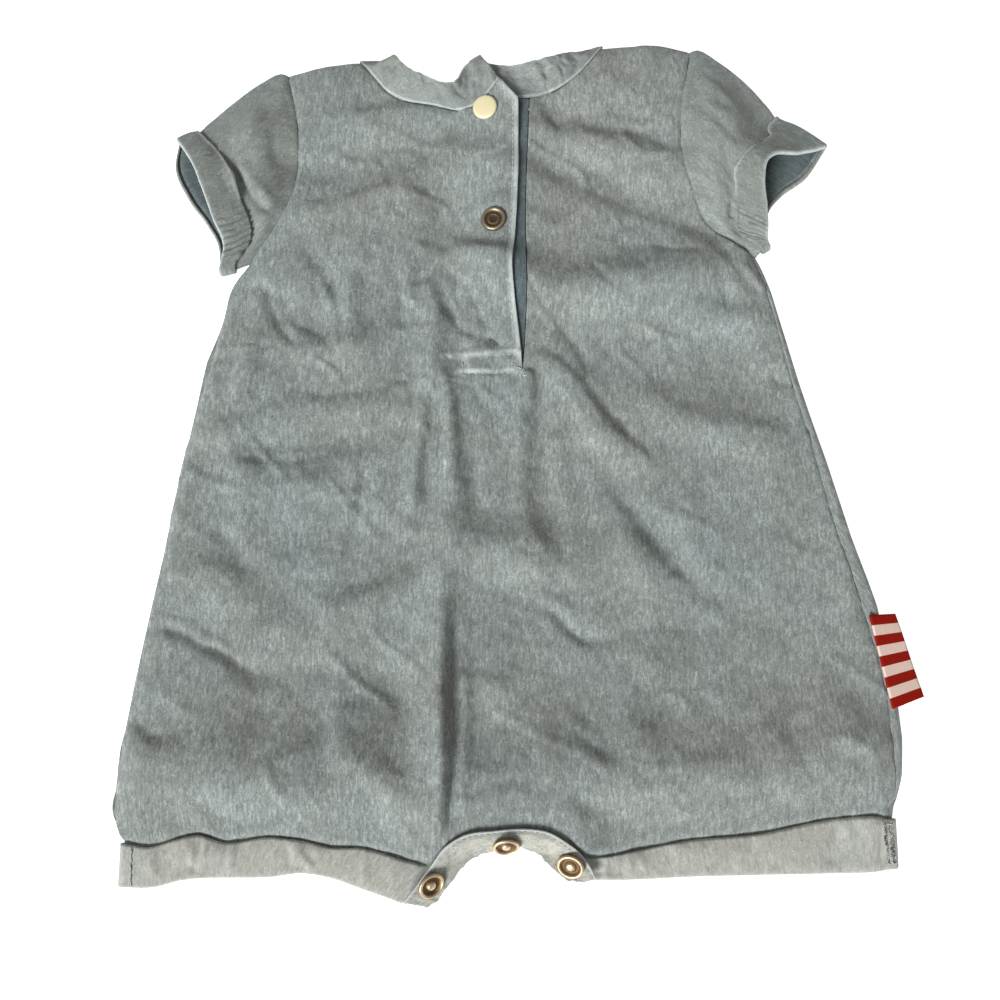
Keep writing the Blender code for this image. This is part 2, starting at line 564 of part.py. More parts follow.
def build_leg_cuffs(collection):
    """Leg cuffs: bands turned up round each leg's opening, from the crotch round the side to the back."""
    middle = (HEM_Z + RAISED_Z) / 2
    path = np.concatenate([np.linspace(0, 1, 13), (1.25, 1.5, 1.75), 2 + np.linspace(0, 1, 9)])

    def band(hem, inner_hem, inner_bend, side_station, back_station, side_x, outward):
        def place(u, v):
            step = picked(path, u)
            on_back = step > 1.5
            along = np.where(on_back, np.clip(step - 2, 0, 1), np.clip(1 - step, 0, 1))
            run = np.clip((v - LIP_SHARE) / (1 - LIP_SHARE), 0, 1)
            inner = inner_hem + (inner_bend - inner_hem) * run
            far = np.where(on_back, back_station, inner)
            line = through(hem, side_station + (far - side_station) * along)
            bend, low = line[:, :2], line[:, 2:]
            way = bend - low
            length = np.linalg.norm(way, axis=-1)
            up, rise = turned_up(v, length - 1.0)
            plan = low + way / length[:, None] * up[:, None]
            radius = middle - RAISED_Z + rise
            angle = np.clip(step - 1, 0, 1) * math.pi
            wave = 0.9 * run * np.sin(along * math.pi) * (1 + np.sin(along * 23)) * (step < 1)
            x = np.where(along == 0, side_x + outward * radius * np.sin(angle), plan[:, 0])
            return np.stack([x, plan[:, 1], middle + radius * np.cos(angle) + wave], axis=-1)

        return place

    left = band(HEM_LEFT, 0.868, 0.925, 0.012, 0.80, -172.4, -1)
    right = band(HEM_RIGHT, 0.357, 0.332, 0.995, 0.42, 162.1, 1)
    for name, place in (("leg_cuff_left", left), ("leg_cuff_right", right)):
        paint(cloth(name, collection, ((len(path) - 1, CUFF_ROWS, place),)), WRONG_SIDE)


# The sleeves: each is a flattened tube from its armhole to its mouth.
SLEEVE_TOP_LEFT = (  # station, x, y: the fold along the top, from shoulder to mouth
    (0.00, -114.3, 186.0), (0.06, -117.5, 187.2), (0.20, -125.8, 184.2),
    (0.43, -137.5, 174.8), (0.70, -149.6, 163.8), (0.83, -154.5, 157.6),
    (0.92, -159.0, 154.6), (1.00, -164.3, 151.6),
)
SLEEVE_TOP_RIGHT = (
    (0.00, 85.8, 198.6), (0.06, 89.0, 199.8), (0.20, 98.0, 193.8),
    (0.42, 111.4, 181.4), (0.62, 121.2, 170.2), (0.74, 126.0, 161.6),
    (0.88, 138.0, 154.6), (1.00, 149.0, 148.3),
)
UNDERARM_LEFT = ((0.0, -128.6, 92.8), (0.5, -134.0, 89.6), (1.0, -140.0, 87.6))
UNDERARM_RIGHT = ((0.0, 113.9, 95.0), (0.5, 117.2, 97.6), (1.0, 121.0, 99.6))
MOUTH_LEFT_FRONT = (  # share of the way from the top fold to the underarm, x, y, height
    (0.00, -164.3, 151.6, 5.0), (0.10, -159.5, 144.5, 9.0), (0.28, -152.8, 134.5, 11.0),
    (0.42, -149.8, 126.0, 11.0), (0.65, -143.5, 109.5, 9.5), (0.84, -138.4, 97.8, 7.0),
    (0.93, -139.4, 92.0, 5.5), (1.00, -140.0, 87.6, 4.0),
)
MOUTH_LEFT_BACK = (
    (0.00, -164.3, 151.6, 0.0), (0.20, -165.8, 138.0, 0.0), (0.42, -158.8, 123.0, 0.0),
    (0.65, -148.8, 110.5, 0.0), (0.80, -143.2, 101.5, 0.0), (1.00, -140.0, 87.6, 0.0),
)
MOUTH_RIGHT_FRONT = (
    (0.00, 149.0, 148.3, 5.0), (0.12, 135.4, 144.0, 10.0), (0.25, 122.3, 139.6, 15.5),
    (0.31, 118.4, 135.6, 16.5), (0.38, 117.4, 128.7, 15.5), (0.52, 118.6, 117.6, 12.5),
    (0.62, 119.2, 111.0, 10.5), (0.80, 119.6, 103.5, 8.0), (0.92, 120.4, 101.0, 5.5),
    (1.00, 121.0, 99.6, 4.0),
)
MOUTH_RIGHT_BACK = (
    (0.00, 149.0, 148.3, 0.0), (0.20, 139.5, 136.0, 0.0), (0.42, 129.0, 125.6, 0.0),
    (0.60, 122.5, 118.2, 0.0), (0.80, 120.8, 108.0, 0.0), (1.00, 121.0, 99.6, 0.0),
)
PUFF = 4.0              # the crown of a sleeve above a straight run from armhole to mouth
FOLD_RADIUS = 1.0       # of a sleeve's folded edges
SEAM_RADIUS = 0.85      # of the same folds at the armhole
UNDERARM_STATION = 0.27 # where an armhole's seam ends
FOLD_WIDTH = (90.0, 66.0)   # a sleeve laid flat, from its armhole to its mouth
AROUND = (  # shares of the way round one layer of a sleeve, from its top fold to its underarm
    0, 0.004, 0.0135, 0.055, 0.125, 0.25, 0.375, 0.5, 0.625, 0.75, 0.875, 0.95, 0.9865, 0.996, 1,
)


def armhole(edge, share, outward):
    """The sleeve's side of an armhole's seam."""
    step = 0.002
    station = UNDERARM_STATION * share
    end = np.clip(station, step, UNDERARM_STATION - step / 10)
    way = through(edge, end) - through(edge, end - step)
    way /= np.linalg.norm(way, axis=-1, keepdims=True)
    normal = np.stack([-way[..., 1], way[..., 0]], axis=-1) * outward
    return through(edge, station) + normal * SEAM_GAP


def sleeve(edge, top, under, mouth_front, mouth_back, outward):
    """A sleeve's middle surface and its length. Around is 0 at the top fold, 1 at the underarm."""
    top_run = np.linalg.norm(np.diff(through(top, np.linspace(0, 1, 40)), axis=0), axis=1).sum()
    under_run = np.hypot(under[-1][1] - under[0][1], under[-1][2] - under[0][2])

    def length(share):
        run = through(mouth_front, share)[..., :2] - armhole(edge, share, outward)
        return np.maximum(np.linalg.norm(run, axis=-1), top_run * (1 - share) ** 2 + under_run * share)

    def surface(around, v):
        front = around <= 1
        share = np.where(front, around, 2 - around)

        def plan(mouth):
            return coons(
                v, share,
                lambda part: armhole(edge, part, outward),
                lambda part: through(mouth, part)[..., :2],
                lambda part: through(top, part),
                lambda part: through(under, part),
            )

        xy = np.where(front[..., None], plan(mouth_front), plan(mouth_back))
        start = cuff_start(share)
        ramp = np.minimum(12 / length(share), start - 0.02)
        floor = FLOOR_Z + TURN * smooth(start - 0.02 - ramp, start - 0.02, v)
        radius = SEAM_RADIUS + (FOLD_RADIUS - SEAM_RADIUS) * smooth(0, 0.2, v)
        width = FOLD_WIDTH[0] + (FOLD_WIDTH[1] - FOLD_WIDTH[0]) * v
        from_fold = np.minimum(share, 1 - share) * width
        rounded = np.sqrt(1 - (1 - np.clip(from_fold / radius, 0, 1)) ** 2)
        seam = armhole(edge, share, outward)
        crown = front_z(seam[..., 0], seam[..., 1])
        lip = through(mouth_front, share)[..., 2]
        free = np.clip(v / start, 0, 1)
        puff = PUFF * np.sin(math.pi * free) ** 2 * np.sin(math.pi * share) ** 0.8
        rise = np.maximum(crown + (lip - crown) * v + puff - floor - 2 * radius, 0)
        rise = rise * smooth(0, 0.3, share) * smooth(1, 0.7, share)
        middle = floor + radius
        z = np.where(front, middle + radius * rounded + rise, middle - radius * rounded)
        return stacked(xy, z)

    def cuff_start(share):
        return np.maximum(1 - SLEEVE_CUFF / length(share), 0.06 + 0.49 * smooth(0.7, 1, share))

    return surface, cuff_start, length




def outward_normals(surface, around, v):
    """Unit normals of a tube, pointing out of it."""
    step = 0.003
    across = surface((around + step) % 2, v) - surface((around - step) % 2, v)
    down = surface(around, np.minimum(v + step, 1)) - surface(around, np.maximum(v - step, 0))
    normal = np.cross(down, across)
    return normal / np.linalg.norm(normal, axis=-1, keepdims=True)


def build_sleeves(collection):
    """Sleeves, and the cuffs that are turned up round their mouths."""
    half = np.array(AROUND)
    around_stations = np.concatenate([half, 2 - half[-2::-1]])
    tables = (
        ("left", LEFT_EDGE, SLEEVE_TOP_LEFT, UNDERARM_LEFT, MOUTH_LEFT_FRONT, MOUTH_LEFT_BACK, -1),
        ("right", RIGHT_EDGE, SLEEVE_TOP_RIGHT, UNDERARM_RIGHT, MOUTH_RIGHT_FRONT, MOUTH_RIGHT_BACK, 1),
    )
    columns = len(around_stations) - 1
    for side, edge, top, under, mouth_front, mouth_back, outward in tables:
        surface, cuff_start, length = sleeve(edge, top, under, mouth_front, mouth_back, outward)

        def tube(u, v):
            around = picked(around_stations, u) % 2
            share = np.where(around <= 1, around, 2 - around)
            return surface(around, v * (1 - PANEL_END / length(share)))

        def cuff(u, v):
            around = picked(around_stations, u) % 2
            share = np.where(around <= 1, around, 2 - around)
            back, rise = turned_up(v, SLEEVE_CUFF)
            station = np.maximum(1 - back / length(share), cuff_start(share))
            normal = outward_normals(surface, around, station) * -outward
            return surface(around, station) + normal * rise[:, None]

        paint(cloth("sleeve_" + side, collection, ((columns, 7, tube),), closed=True), DENIM)
        cuff_piece = cloth("sleeve_cuff_" + side, collection, ((columns, CUFF_ROWS, cuff),), closed=True)
        paint(cuff_piece, DENIM)


# The collar is a band folded flat at each end of the shoulders: the front's left part, the
# back's part under it, the front's right part, and its end that passes under the left one.
COLLAR_LEFT = (  # neck station, then x, y and height of the band's top edge, and its swell
    (0.31, -61.4, 193.8, 2.0, 0.0), (0.35, -60.4, 193.0, 6.0, 0.3), (0.39, -59.5, 192.0, 9.0, 0.8),
    (0.47, -57.3, 188.8, 12.0, 1.2), (0.54, -54.2, 184.0, 14.5, 1.5), (0.62, -47.5, 181.5, 15.5, 1.5),
    (0.70, -39.0, 178.9, 15.0, 1.2), (0.80, -28.5, 181.0, 12.0, 0.5), (0.87, -24.8, 187.0, 11.0, 0.0),
    (1.00, -18.7, 192.0, 10.5, 0.0),
)
COLLAR_BACK = (
    (0.20, -61.4, 193.2, 0.55, 0.0), (0.27, -55.0, 188.0, 0.55, 0.0), (0.33, -47.0, 185.6, 0.55, 0.0),
    (0.42, -32.0, 184.4, 0.55, 0.0), (0.52, -6.0, 185.8, 0.55, 0.0), (0.60, 7.0, 188.0, 0.55, 0.0),
    (0.69, 20.0, 193.6, 0.55, 0.0), (0.77, 28.2, 196.6, 0.55, 0.0),
)
COLLAR_RIGHT = (
    (-0.30, -15.5, 189.3, 6.2, 0.0), (-0.18, -10.5, 188.7, 6.2, 0.0), (0.00, -2.0, 188.5, 6.4, 0.0),
    (0.08, 3.1, 188.8, 8.0, 0.5), (0.16, 12.8, 190.4, 9.5, 1.2), (0.26, 20.0, 192.5, 8.0, 1.2),
    (0.38, 24.8, 195.2, 5.0, 0.6), (0.52, 28.0, 196.4, 2.0, 0.0),
)
NECK_UNDER = ((-0.30, -12.0, 175.6), (-0.15, -3.5, 175.0)) + NECK_RIGHT[:5]


def build_collar(collection):
    """Collar: a stand band sewn to the neck edges, folded flat at both shoulders."""
    fold = np.array((0.25, 0.5, 0.75))
    left = np.arange(LEFT_COLUMNS, 0, -1) / LEFT_COLUMNS
    left = np.append(left[left > 0.32], 0.31)
    first = np.arange(RIGHT_COLUMNS, -1, -1) / RIGHT_COLUMNS
    back = np.concatenate([[0.20], BACK_COLUMNS[3:12], [0.77]])
    right = np.concatenate([[0.52], first[first < 0.50], (-0.1, -0.2, -0.3)])
    runs = (
        (NECK_LEFT, COLLAR_LEFT, left), (BACK_NECK, COLLAR_BACK, back), (NECK_UNDER, COLLAR_RIGHT, right),
    )
    path = np.concatenate([
        np.linspace(0, 1, len(left)), 1 + fold, np.linspace(2, 3, len(back)),
        3 + fold, np.linspace(4, 5, len(right)),
    ])

    def edges(run, part):
        """Seam and top edge of one part of the band."""
        neck, top, stations = run
        station = picked(stations, part)
        inside = np.clip(station, stations.min() + 0.001, stations.max() - 0.001)
        way = through(neck, inside + 0.001) - through(neck, inside - 0.001)
        way /= np.linalg.norm(way, axis=-1, keepdims=True)
        seam = through(neck, station) + np.stack([-way[:, 1], way[:, 0]], axis=-1) * COLLAR_GAP
        if neck is BACK_NECK:
            z = np.full(len(part), FLOOR_Z)
        elif neck is NECK_UNDER:
            z = front_z(np.maximum(seam[:, 0], slit_x(seam[:, 1]) + 2), seam[:, 1])
        else:
            z = front_z(seam[:, 0], seam[:, 1])
        return stacked(seam, z), through(top, station)

    def band(u, v):
        step = picked(path, u)
        points = np.zeros((len(u), 3))
        for number, run in enumerate(runs):
            here = (step >= 2 * number) & (step <= 2 * number + 1)
            seam, top = edges(run, step[here] - 2 * number)
            share = v[here][:, None]
            points[here] = seam + (top[:, :3] - seam) * share
            points[here, 2] += top[:, 3] * np.sin(math.pi * v[here])
        for number in (0, 1):
            here = (step > 2 * number + 1) & (step < 2 * number + 2)
            one, zero = np.ones(here.sum()), np.zeros(here.sum())
            seam_a, top_a = edges(runs[number], one)
            seam_b, top_b = edges(runs[number + 1], zero)
            start = seam_a + (top_a[:, :3] - seam_a) * v[here][:, None]
            end = seam_b + (top_b[:, :3] - seam_b) * v[here][:, None]
            angle = (step[here] - 2 * number - 1) * math.pi
            turned = ((1 - np.cos(angle)) / 2)[:, None]
            points[here] = start + (end - start) * turned
            along = top_a[:, :2] - seam_a[:, :2]
            along /= np.linalg.norm(along, axis=-1, keepdims=True)
            along *= np.sign(along[:, :1])
            reach = np.abs(start[:, 2] - end[:, 2]) / 2 * np.sin(angle)
            points[here, 0] -= along[:, 1] * reach
            points[here, 1] += along[:, 0] * reach
        return points

    paint(cloth("collar", collection, ((len(path) - 1, 4, band),)), DENIM)


def build_tab(collection):
    """Ribbon tab: sewn into the right side seam and lying over the back's roll."""
    inner = ((157.8, -78.3), (165.7, -118.7))
    outer = ((169.2, -77.4), (180.0, -111.7))

    def ribbon(u, v):
        start = np.array(inner[0]) + (np.array(inner[1]) - inner[0]) * v[:, None]
        end = np.array(outer[0]) + (np.array(outer[1]) - outer[0]) * v[:, None]
        plan = start + (end - start) * u[:, None]
        return stacked(plan, 7.0 - 5.4 * smooth(0.25, 1, u))

    paint(cloth("side_tab", collection, ((5, 6, ribbon),)), RIBBON)


CAP = (  # radius, height: a snap cap's outline from the middle of its face round to its base
    (0.0, 1.3), (2.6, 1.3), (3.4, 1.0), (4.4, 1.2), (5.2, 1.9), (6.0, 1.2), (5.7, 0.0), (0.0, 0.0),
)


def build_snaps(collection):
    """Snap caps: turned rings that sit on the cloth and follow its slope."""
    places = [("snap_placket_%d" % (i + 1), x, y, front_z) for i, (x, y) in enumerate(PLACKET_SNAPS)]
    places += [("snap_crotch_%d" % (i + 1), x, y, tape_z) for i, (x, y) in enumerate(CROTCH_SNAPS)]
    turns = np.linspace(0, 2 * math.pi, 24, endpoint=False)
    for name, x, y, surface in places:
        ring_x = np.concatenate([[0], 3 * np.cos(turns), 5.9 * np.cos(turns)])
        ring_y = np.concatenate([[0], 3 * np.sin(turns), 5.9 * np.sin(turns)])
        heights = surface(x + ring_x, y + ring_y)
        slope_x = (surface(np.array([x + 3.0]), y) - surface(np.array([x - 3.0]), y))[0] / 6
        slope_y = (surface(np.array([x]), y + 3.0) - surface(np.array([x]), y - 3.0))[0] / 6
        lift = (heights - slope_x * ring_x - slope_y * ring_y).max()
        up = Vector((-slope_x, -slope_y, 1)).normalized()
        mesh = bmesh.new()
        verts = [mesh.verts.new((radius * MM, 0, height * MM)) for radius, height in CAP]
        for start, end in zip(verts[:-1], verts[1:]):
            mesh.edges.new((start, end))
        piece = finish(name, collection, mesh, None)
        screw = piece.modifiers.new("turned", "SCREW")
        screw.steps = SNAP_STEPS
        screw.render_steps = SNAP_STEPS
        screw.use_merge_vertices = True
        screw.merge_threshold = 0.00001
        piece.location = Vector((x, y, lift + WALL / 2 + GAP + SNAP_LIFT.get(name, 0))) * MM
        piece.rotation_mode = "QUATERNION"
        piece.rotation_quaternion = Vector((0, 0, 1)).rotation_difference(up)
        paint(piece, BRASS, roughness=0.35, metallic=1.0)


def main():
    for old in list(bpy.data.objects):
        bpy.data.objects.remove(old)
    collection = bpy.data.collections.new("baby_romper")
    bpy.context.scene.collection.children.link(collection)
    build_front(collection)
    build_back(collection)
    build_underlap(collection)
    build_tapes(collection)
    build_leg_cuffs(collection)
    build_sleeves(collection)
    build_collar(collection)
    build_tab(collection)
    build_snaps(collection)


main()
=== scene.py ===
import math

import bmesh
import bpy
import numpy as np
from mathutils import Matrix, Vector


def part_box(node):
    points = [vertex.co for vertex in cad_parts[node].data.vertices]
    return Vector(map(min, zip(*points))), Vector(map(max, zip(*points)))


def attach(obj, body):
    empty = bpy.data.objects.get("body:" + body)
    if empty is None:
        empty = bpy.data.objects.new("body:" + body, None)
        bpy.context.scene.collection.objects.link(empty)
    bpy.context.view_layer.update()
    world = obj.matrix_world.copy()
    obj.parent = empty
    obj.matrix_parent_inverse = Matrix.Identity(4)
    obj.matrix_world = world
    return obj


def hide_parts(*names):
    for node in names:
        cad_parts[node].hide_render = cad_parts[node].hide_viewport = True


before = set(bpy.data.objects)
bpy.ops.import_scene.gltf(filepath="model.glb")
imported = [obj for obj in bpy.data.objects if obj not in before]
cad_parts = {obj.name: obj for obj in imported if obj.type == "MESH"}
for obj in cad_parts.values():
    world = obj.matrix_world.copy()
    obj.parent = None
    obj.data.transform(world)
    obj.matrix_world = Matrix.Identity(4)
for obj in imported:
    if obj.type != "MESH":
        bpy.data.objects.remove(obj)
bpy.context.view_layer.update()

# ---------------------------------------------------------------------------
# Table, light and camera.
# The romper lies on a white light table under a broad soft light at the left,
# near the hems, with a weaker sky all round. The camera looks almost straight down.
scene = bpy.context.scene
scene.view_settings.view_transform = "Standard"
scene.view_settings.look = "None"


def srgb(code):
    """A hex colour as linear red, green, blue and alpha."""
    parts = [int(code[i:i + 2], 16) / 255 for i in (1, 3, 5)]
    return tuple(p / 12.92 if p <= 0.04045 else ((p + 0.055) / 1.055) ** 2.4 for p in parts) + (1.0,)


def fill(tree, node, inputs):
    """Fills or links a node's inputs, each given by its name or its index."""
    for key, value in inputs.items():
        if isinstance(value, bpy.types.NodeSocket):
            tree.links.new(value, node.inputs[key])
        else:
            node.inputs[key].default_value = value


def add_node(tree, kind, settings=None, **inputs):
    """Adds a node, sets its properties, and fills its inputs by name, or by index as i0, i1 and so on."""
    node = tree.nodes.new(kind)
    for key, value in (settings or {}).items():
        setattr(node, key, value)
    numbered = {int(key[1:]) if key[1:].isdigit() else key: value for key, value in inputs.items()}
    fill(tree, node, numbered)
    return node


def new_finish(name):
    """An empty material, its nodes and its shader."""
    material = bpy.data.materials.new(name)
    material.use_nodes = True
    return material, material.node_tree, material.node_tree.nodes["Principled BSDF"]


def put(name, data):
    """A new object in the scene."""
    thing = bpy.data.objects.new(name, data)
    scene.collection.objects.link(thing)
    return thing


# Opal acrylic: matt white, and lit a little from below, so shadows on it stay pale.
table_top, tree, shader = new_finish("opal_acrylic_table")
fill(tree, shader, {
    "Base Color": srgb("#fdfdfd"), "Emission Color": srgb("#ffffff"), "Emission Strength": 0.85,
    "Roughness": 0.9, "Specular IOR Level": 0.1,
})
mesh = bpy.data.meshes.new("table")
mesh.from_pydata([(-4, -4, 0), (4, -4, 0), (4, 4, 0), (-4, 4, 0)], [], [(0, 1, 2, 3)])
mesh.materials.append(table_top)
table = put("table", mesh)
table.location.z = -0.0002

sky = bpy.data.worlds.new("sky")
sky.use_nodes = True
fill(sky.node_tree, sky.node_tree.nodes["Background"], {"Color": srgb("#fffdfa"), "Strength": 0.30})
scene.world = sky

lamp = bpy.data.lights.new("window", "SUN")
lamp.energy = 4.15
lamp.angle = math.radians(26)
lamp.color = srgb("#fbffff")[:3]
window = put("window", lamp)
window.rotation_euler = Vector((-0.46, -0.68, 0.571)).to_track_quat("Z", "Y").to_euler()

camera_data = bpy.data.cameras.new("camera")
camera_data.sensor_width = 36.0
camera_data.lens = 34.67
camera = put("camera", camera_data)
camera.location = (-0.009, -0.0942, 0.4435)
towards = Vector((-0.009, -0.0240, 0.0)) - camera.location
camera.rotation_euler = towards.to_track_quat("-Z", "Y").to_euler()
scene.camera = camera

# ---------------------------------------------------------------------------
# Front panel.
# One piece of light-wash chambray denim from the shoulders to the leg hems,
# slit at the neck for the placket, whose left half laps over the right one.
# Tables are in millimetres; heights are those of the middle of the cloth.
MM = 0.001
WALL = 0.9              # cloth wall, with its nap
LAYER = 1.4             # from the middle of one laid layer to the next
TURN = 1.7              # from a panel to the layer that is turned up over it
FLOOR_Z = 0.55          # back panel, lying on the table
RAISED_Z = FLOOR_Z + TURN
HEM_Z = RAISED_Z + 1.55
SIDE_Z = FLOOR_Z + LAYER + 0.05
PLATEAU_Z = 5.2
SETTLE = 0.8            # how softly the valleys come down on the back
TAPE_X = (-56.0, 38.0)
TAPE_RISE = 1.9
OVER_LIFT = 3.1         # the left half over the placket's underlap
SLIT_FOOT = (37.0, 54.0)  # y between which the placket's halves rise from its closed foot
ARCH_LIFT = 6.8         # the front at the top of the crotch's arch, which stands up

LEFT_EDGE = (  # station, x, y: shoulder tip, armhole, underarm, side, cuff
    (0.00, -114.3, 189.4), (0.07, -108.8, 164.5), (0.13, -107.8, 142.0),
    (0.19, -111.0, 122.0), (0.23, -118.0, 108.0), (0.27, -128.5, 92.0),
    (0.27, -128.5, 92.0), (0.30, -137.0, 80.0), (0.34, -140.4, 64.0), (0.43, -148.4, 32.0),
    (0.54, -156.7, -6.0), (0.65, -162.5, -43.5), (0.76, -168.9, -80.0),
    (0.87, -175.5, -122.0), (0.95, -179.0, -151.0), (0.985, -178.5, -168.0),
    (1.00, -173.2, -175.5),
)
RIGHT_EDGE = (
    (0.00, 85.8, 202.4), (0.06, 81.4, 178.5), (0.12, 79.6, 154.5),
    (0.19, 84.2, 130.0), (0.23, 92.3, 110.0), (0.26, 106.0, 99.0),
    (0.27, 113.6, 94.0), (0.27, 113.6, 94.0), (0.35, 121.4, 65.5),
    (0.44, 127.5, 34.0), (0.53, 135.3, 3.0), (0.63, 144.3, -34.5),
    (0.73, 154.1, -71.0), (0.83, 162.6, -106.3), (0.91, 164.7, -136.5),
    (0.98, 163.6, -160.0), (1.00, 161.0, -165.5),
)
OVER_EDGE = (  # the left half's slit edge, then the middle of the front
    (0.00, -9.0, 183.7), (0.03, -0.2, 173.0), (0.03, -0.2, 173.0),
    (0.13, -0.3, 135.5), (0.21, -1.8, 105.0), (0.25, -3.3, 90.0),
    (0.29, -2.4, 75.0), (0.34, -0.3, 57.0), (0.40, 1.8, 37.0),
    (0.40, 1.8, 37.0), (0.47, -8.0, 10.0), (0.59, -25.0, -35.0),
    (0.68, -28.5, -70.0), (0.82, -28.0, -115.0), (0.92, -29.5, -150.0),
    (1.00, -30.5, -174.5),
)
UNDER_EDGE = (  # the right half's slit edge, down to the slit's end
    (0.00, 5.7, 175.5), (0.05, 4.9, 158.0), (0.21, 3.5, 110.0),
    (0.30, 3.8, 72.0), (0.35, 3.0, 54.0), (0.40, 1.8, 37.0),
)
UNDERARM, SLIT_END = 0.27, 0.40     # stations on these edges
NECK_LEFT = (  # station, x, y: shoulder seam, neck point, neck seam
    (0.00, -114.3, 189.4), (0.15, -98.0, 193.8), (0.31, -78.5, 196.5),
    (0.31, -78.5, 196.5), (0.39, -71.8, 187.6), (0.47, -65.2, 179.5),
    (0.54, -57.5, 174.9), (0.67, -42.0, 172.0), (0.80, -27.5, 169.4),
    (0.89, -18.5, 172.6), (1.00, -9.0, 183.7),
)
NECK_RIGHT = (
    (0.00, 5.7, 175.5), (0.16, 20.6, 181.4), (0.26, 28.6, 187.6),
    (0.38, 35.2, 195.0), (0.52, 42.0, 204.5), (0.52, 42.0, 204.5),
    (0.70, 58.5, 205.6), (0.84, 70.5, 205.8), (1.00, 85.8, 202.4),
)
HEM_LEFT = (  # station, bend x, bend y, hem x, hem y
    (0.00, -173.2, -175.5, -172.6, -195.0), (0.10, -162.0, -177.0, -160.0, -195.0),
    (0.20, -149.0, -173.5, -147.0, -192.0), (0.27, -141.0, -172.0, -138.0, -191.2),
    (0.36, -129.0, -175.3, -127.5, -191.0), (0.48, -110.0, -173.0, -109.0, -190.7),
    (0.57, -95.5, -174.5, -96.0, -189.2), (0.66, -82.5, -177.4, -83.0, -191.0),
    (0.75, -69.5, -177.6, -70.0, -195.2), (0.84, -56.5, -180.7, -58.0, -199.2),
    (0.90, -48.0, -183.2, -49.5, -201.8), (0.95, -39.5, -184.2, -39.0, -201.5),
    (1.00, -30.5, -174.5, -29.5, -192.0),
)
HEM_RIGHT = (
    (0.00, -30.5, -174.5, -29.5, -192.0), (0.05, -21.5, -170.9, -21.0, -183.5),
    (0.10, -9.0, -170.2, -9.0, -179.8), (0.16, 3.0, -169.4, 1.0, -179.0),
    (0.21, 11.5, -170.5, 8.0, -182.5), (0.26, 20.0, -174.3, 14.5, -187.8),
    (0.31, 29.0, -181.5, 24.0, -191.5), (0.36, 37.0, -181.2, 36.0, -191.9),
    (0.45, 52.0, -178.3, 52.0, -191.7), (0.55, 73.0, -174.5, 71.0, -190.7),
    (0.70, 104.0, -171.6, 104.0, -189.9), (0.84, 135.0, -165.6, 136.0, -189.2),
    (0.95, 156.0, -164.2, 154.0, -188.6), (1.00, 161.0, -165.5, 160.5, -187.5),
)
LEFT_NECK_POINT, RIGHT_NECK_POINT = 0.31, 0.52  # stations where the shoulder seams end
ROLL = (  # y, x of the roll's outer face, radius: back panel at the right side
    (94.0, 114.6, 0.85), (86.0, 118.0, 1.4), (76.0, 121.2, 1.9), (52.0, 127.0, 2.3),
    (32.5, 131.8, 2.4), (13.0, 137.3, 2.4), (-6.0, 143.0, 2.4),
    (-24.5, 148.0, 2.4), (-43.0, 153.0, 2.4), (-61.5, 159.0, 2.4),
    (-73.0, 162.5, 2.4), (-88.5, 165.2, 2.4), (-106.5, 168.4, 2.4),
    (-132.5, 170.2, 2.4), (-148.0, 169.2, 2.1), (-157.0, 166.8, 1.5),
    (-163.0, 164.2, 1.0), (-167.0, 163.1, 0.8), (-190.0, 163.0, 0.775),
)
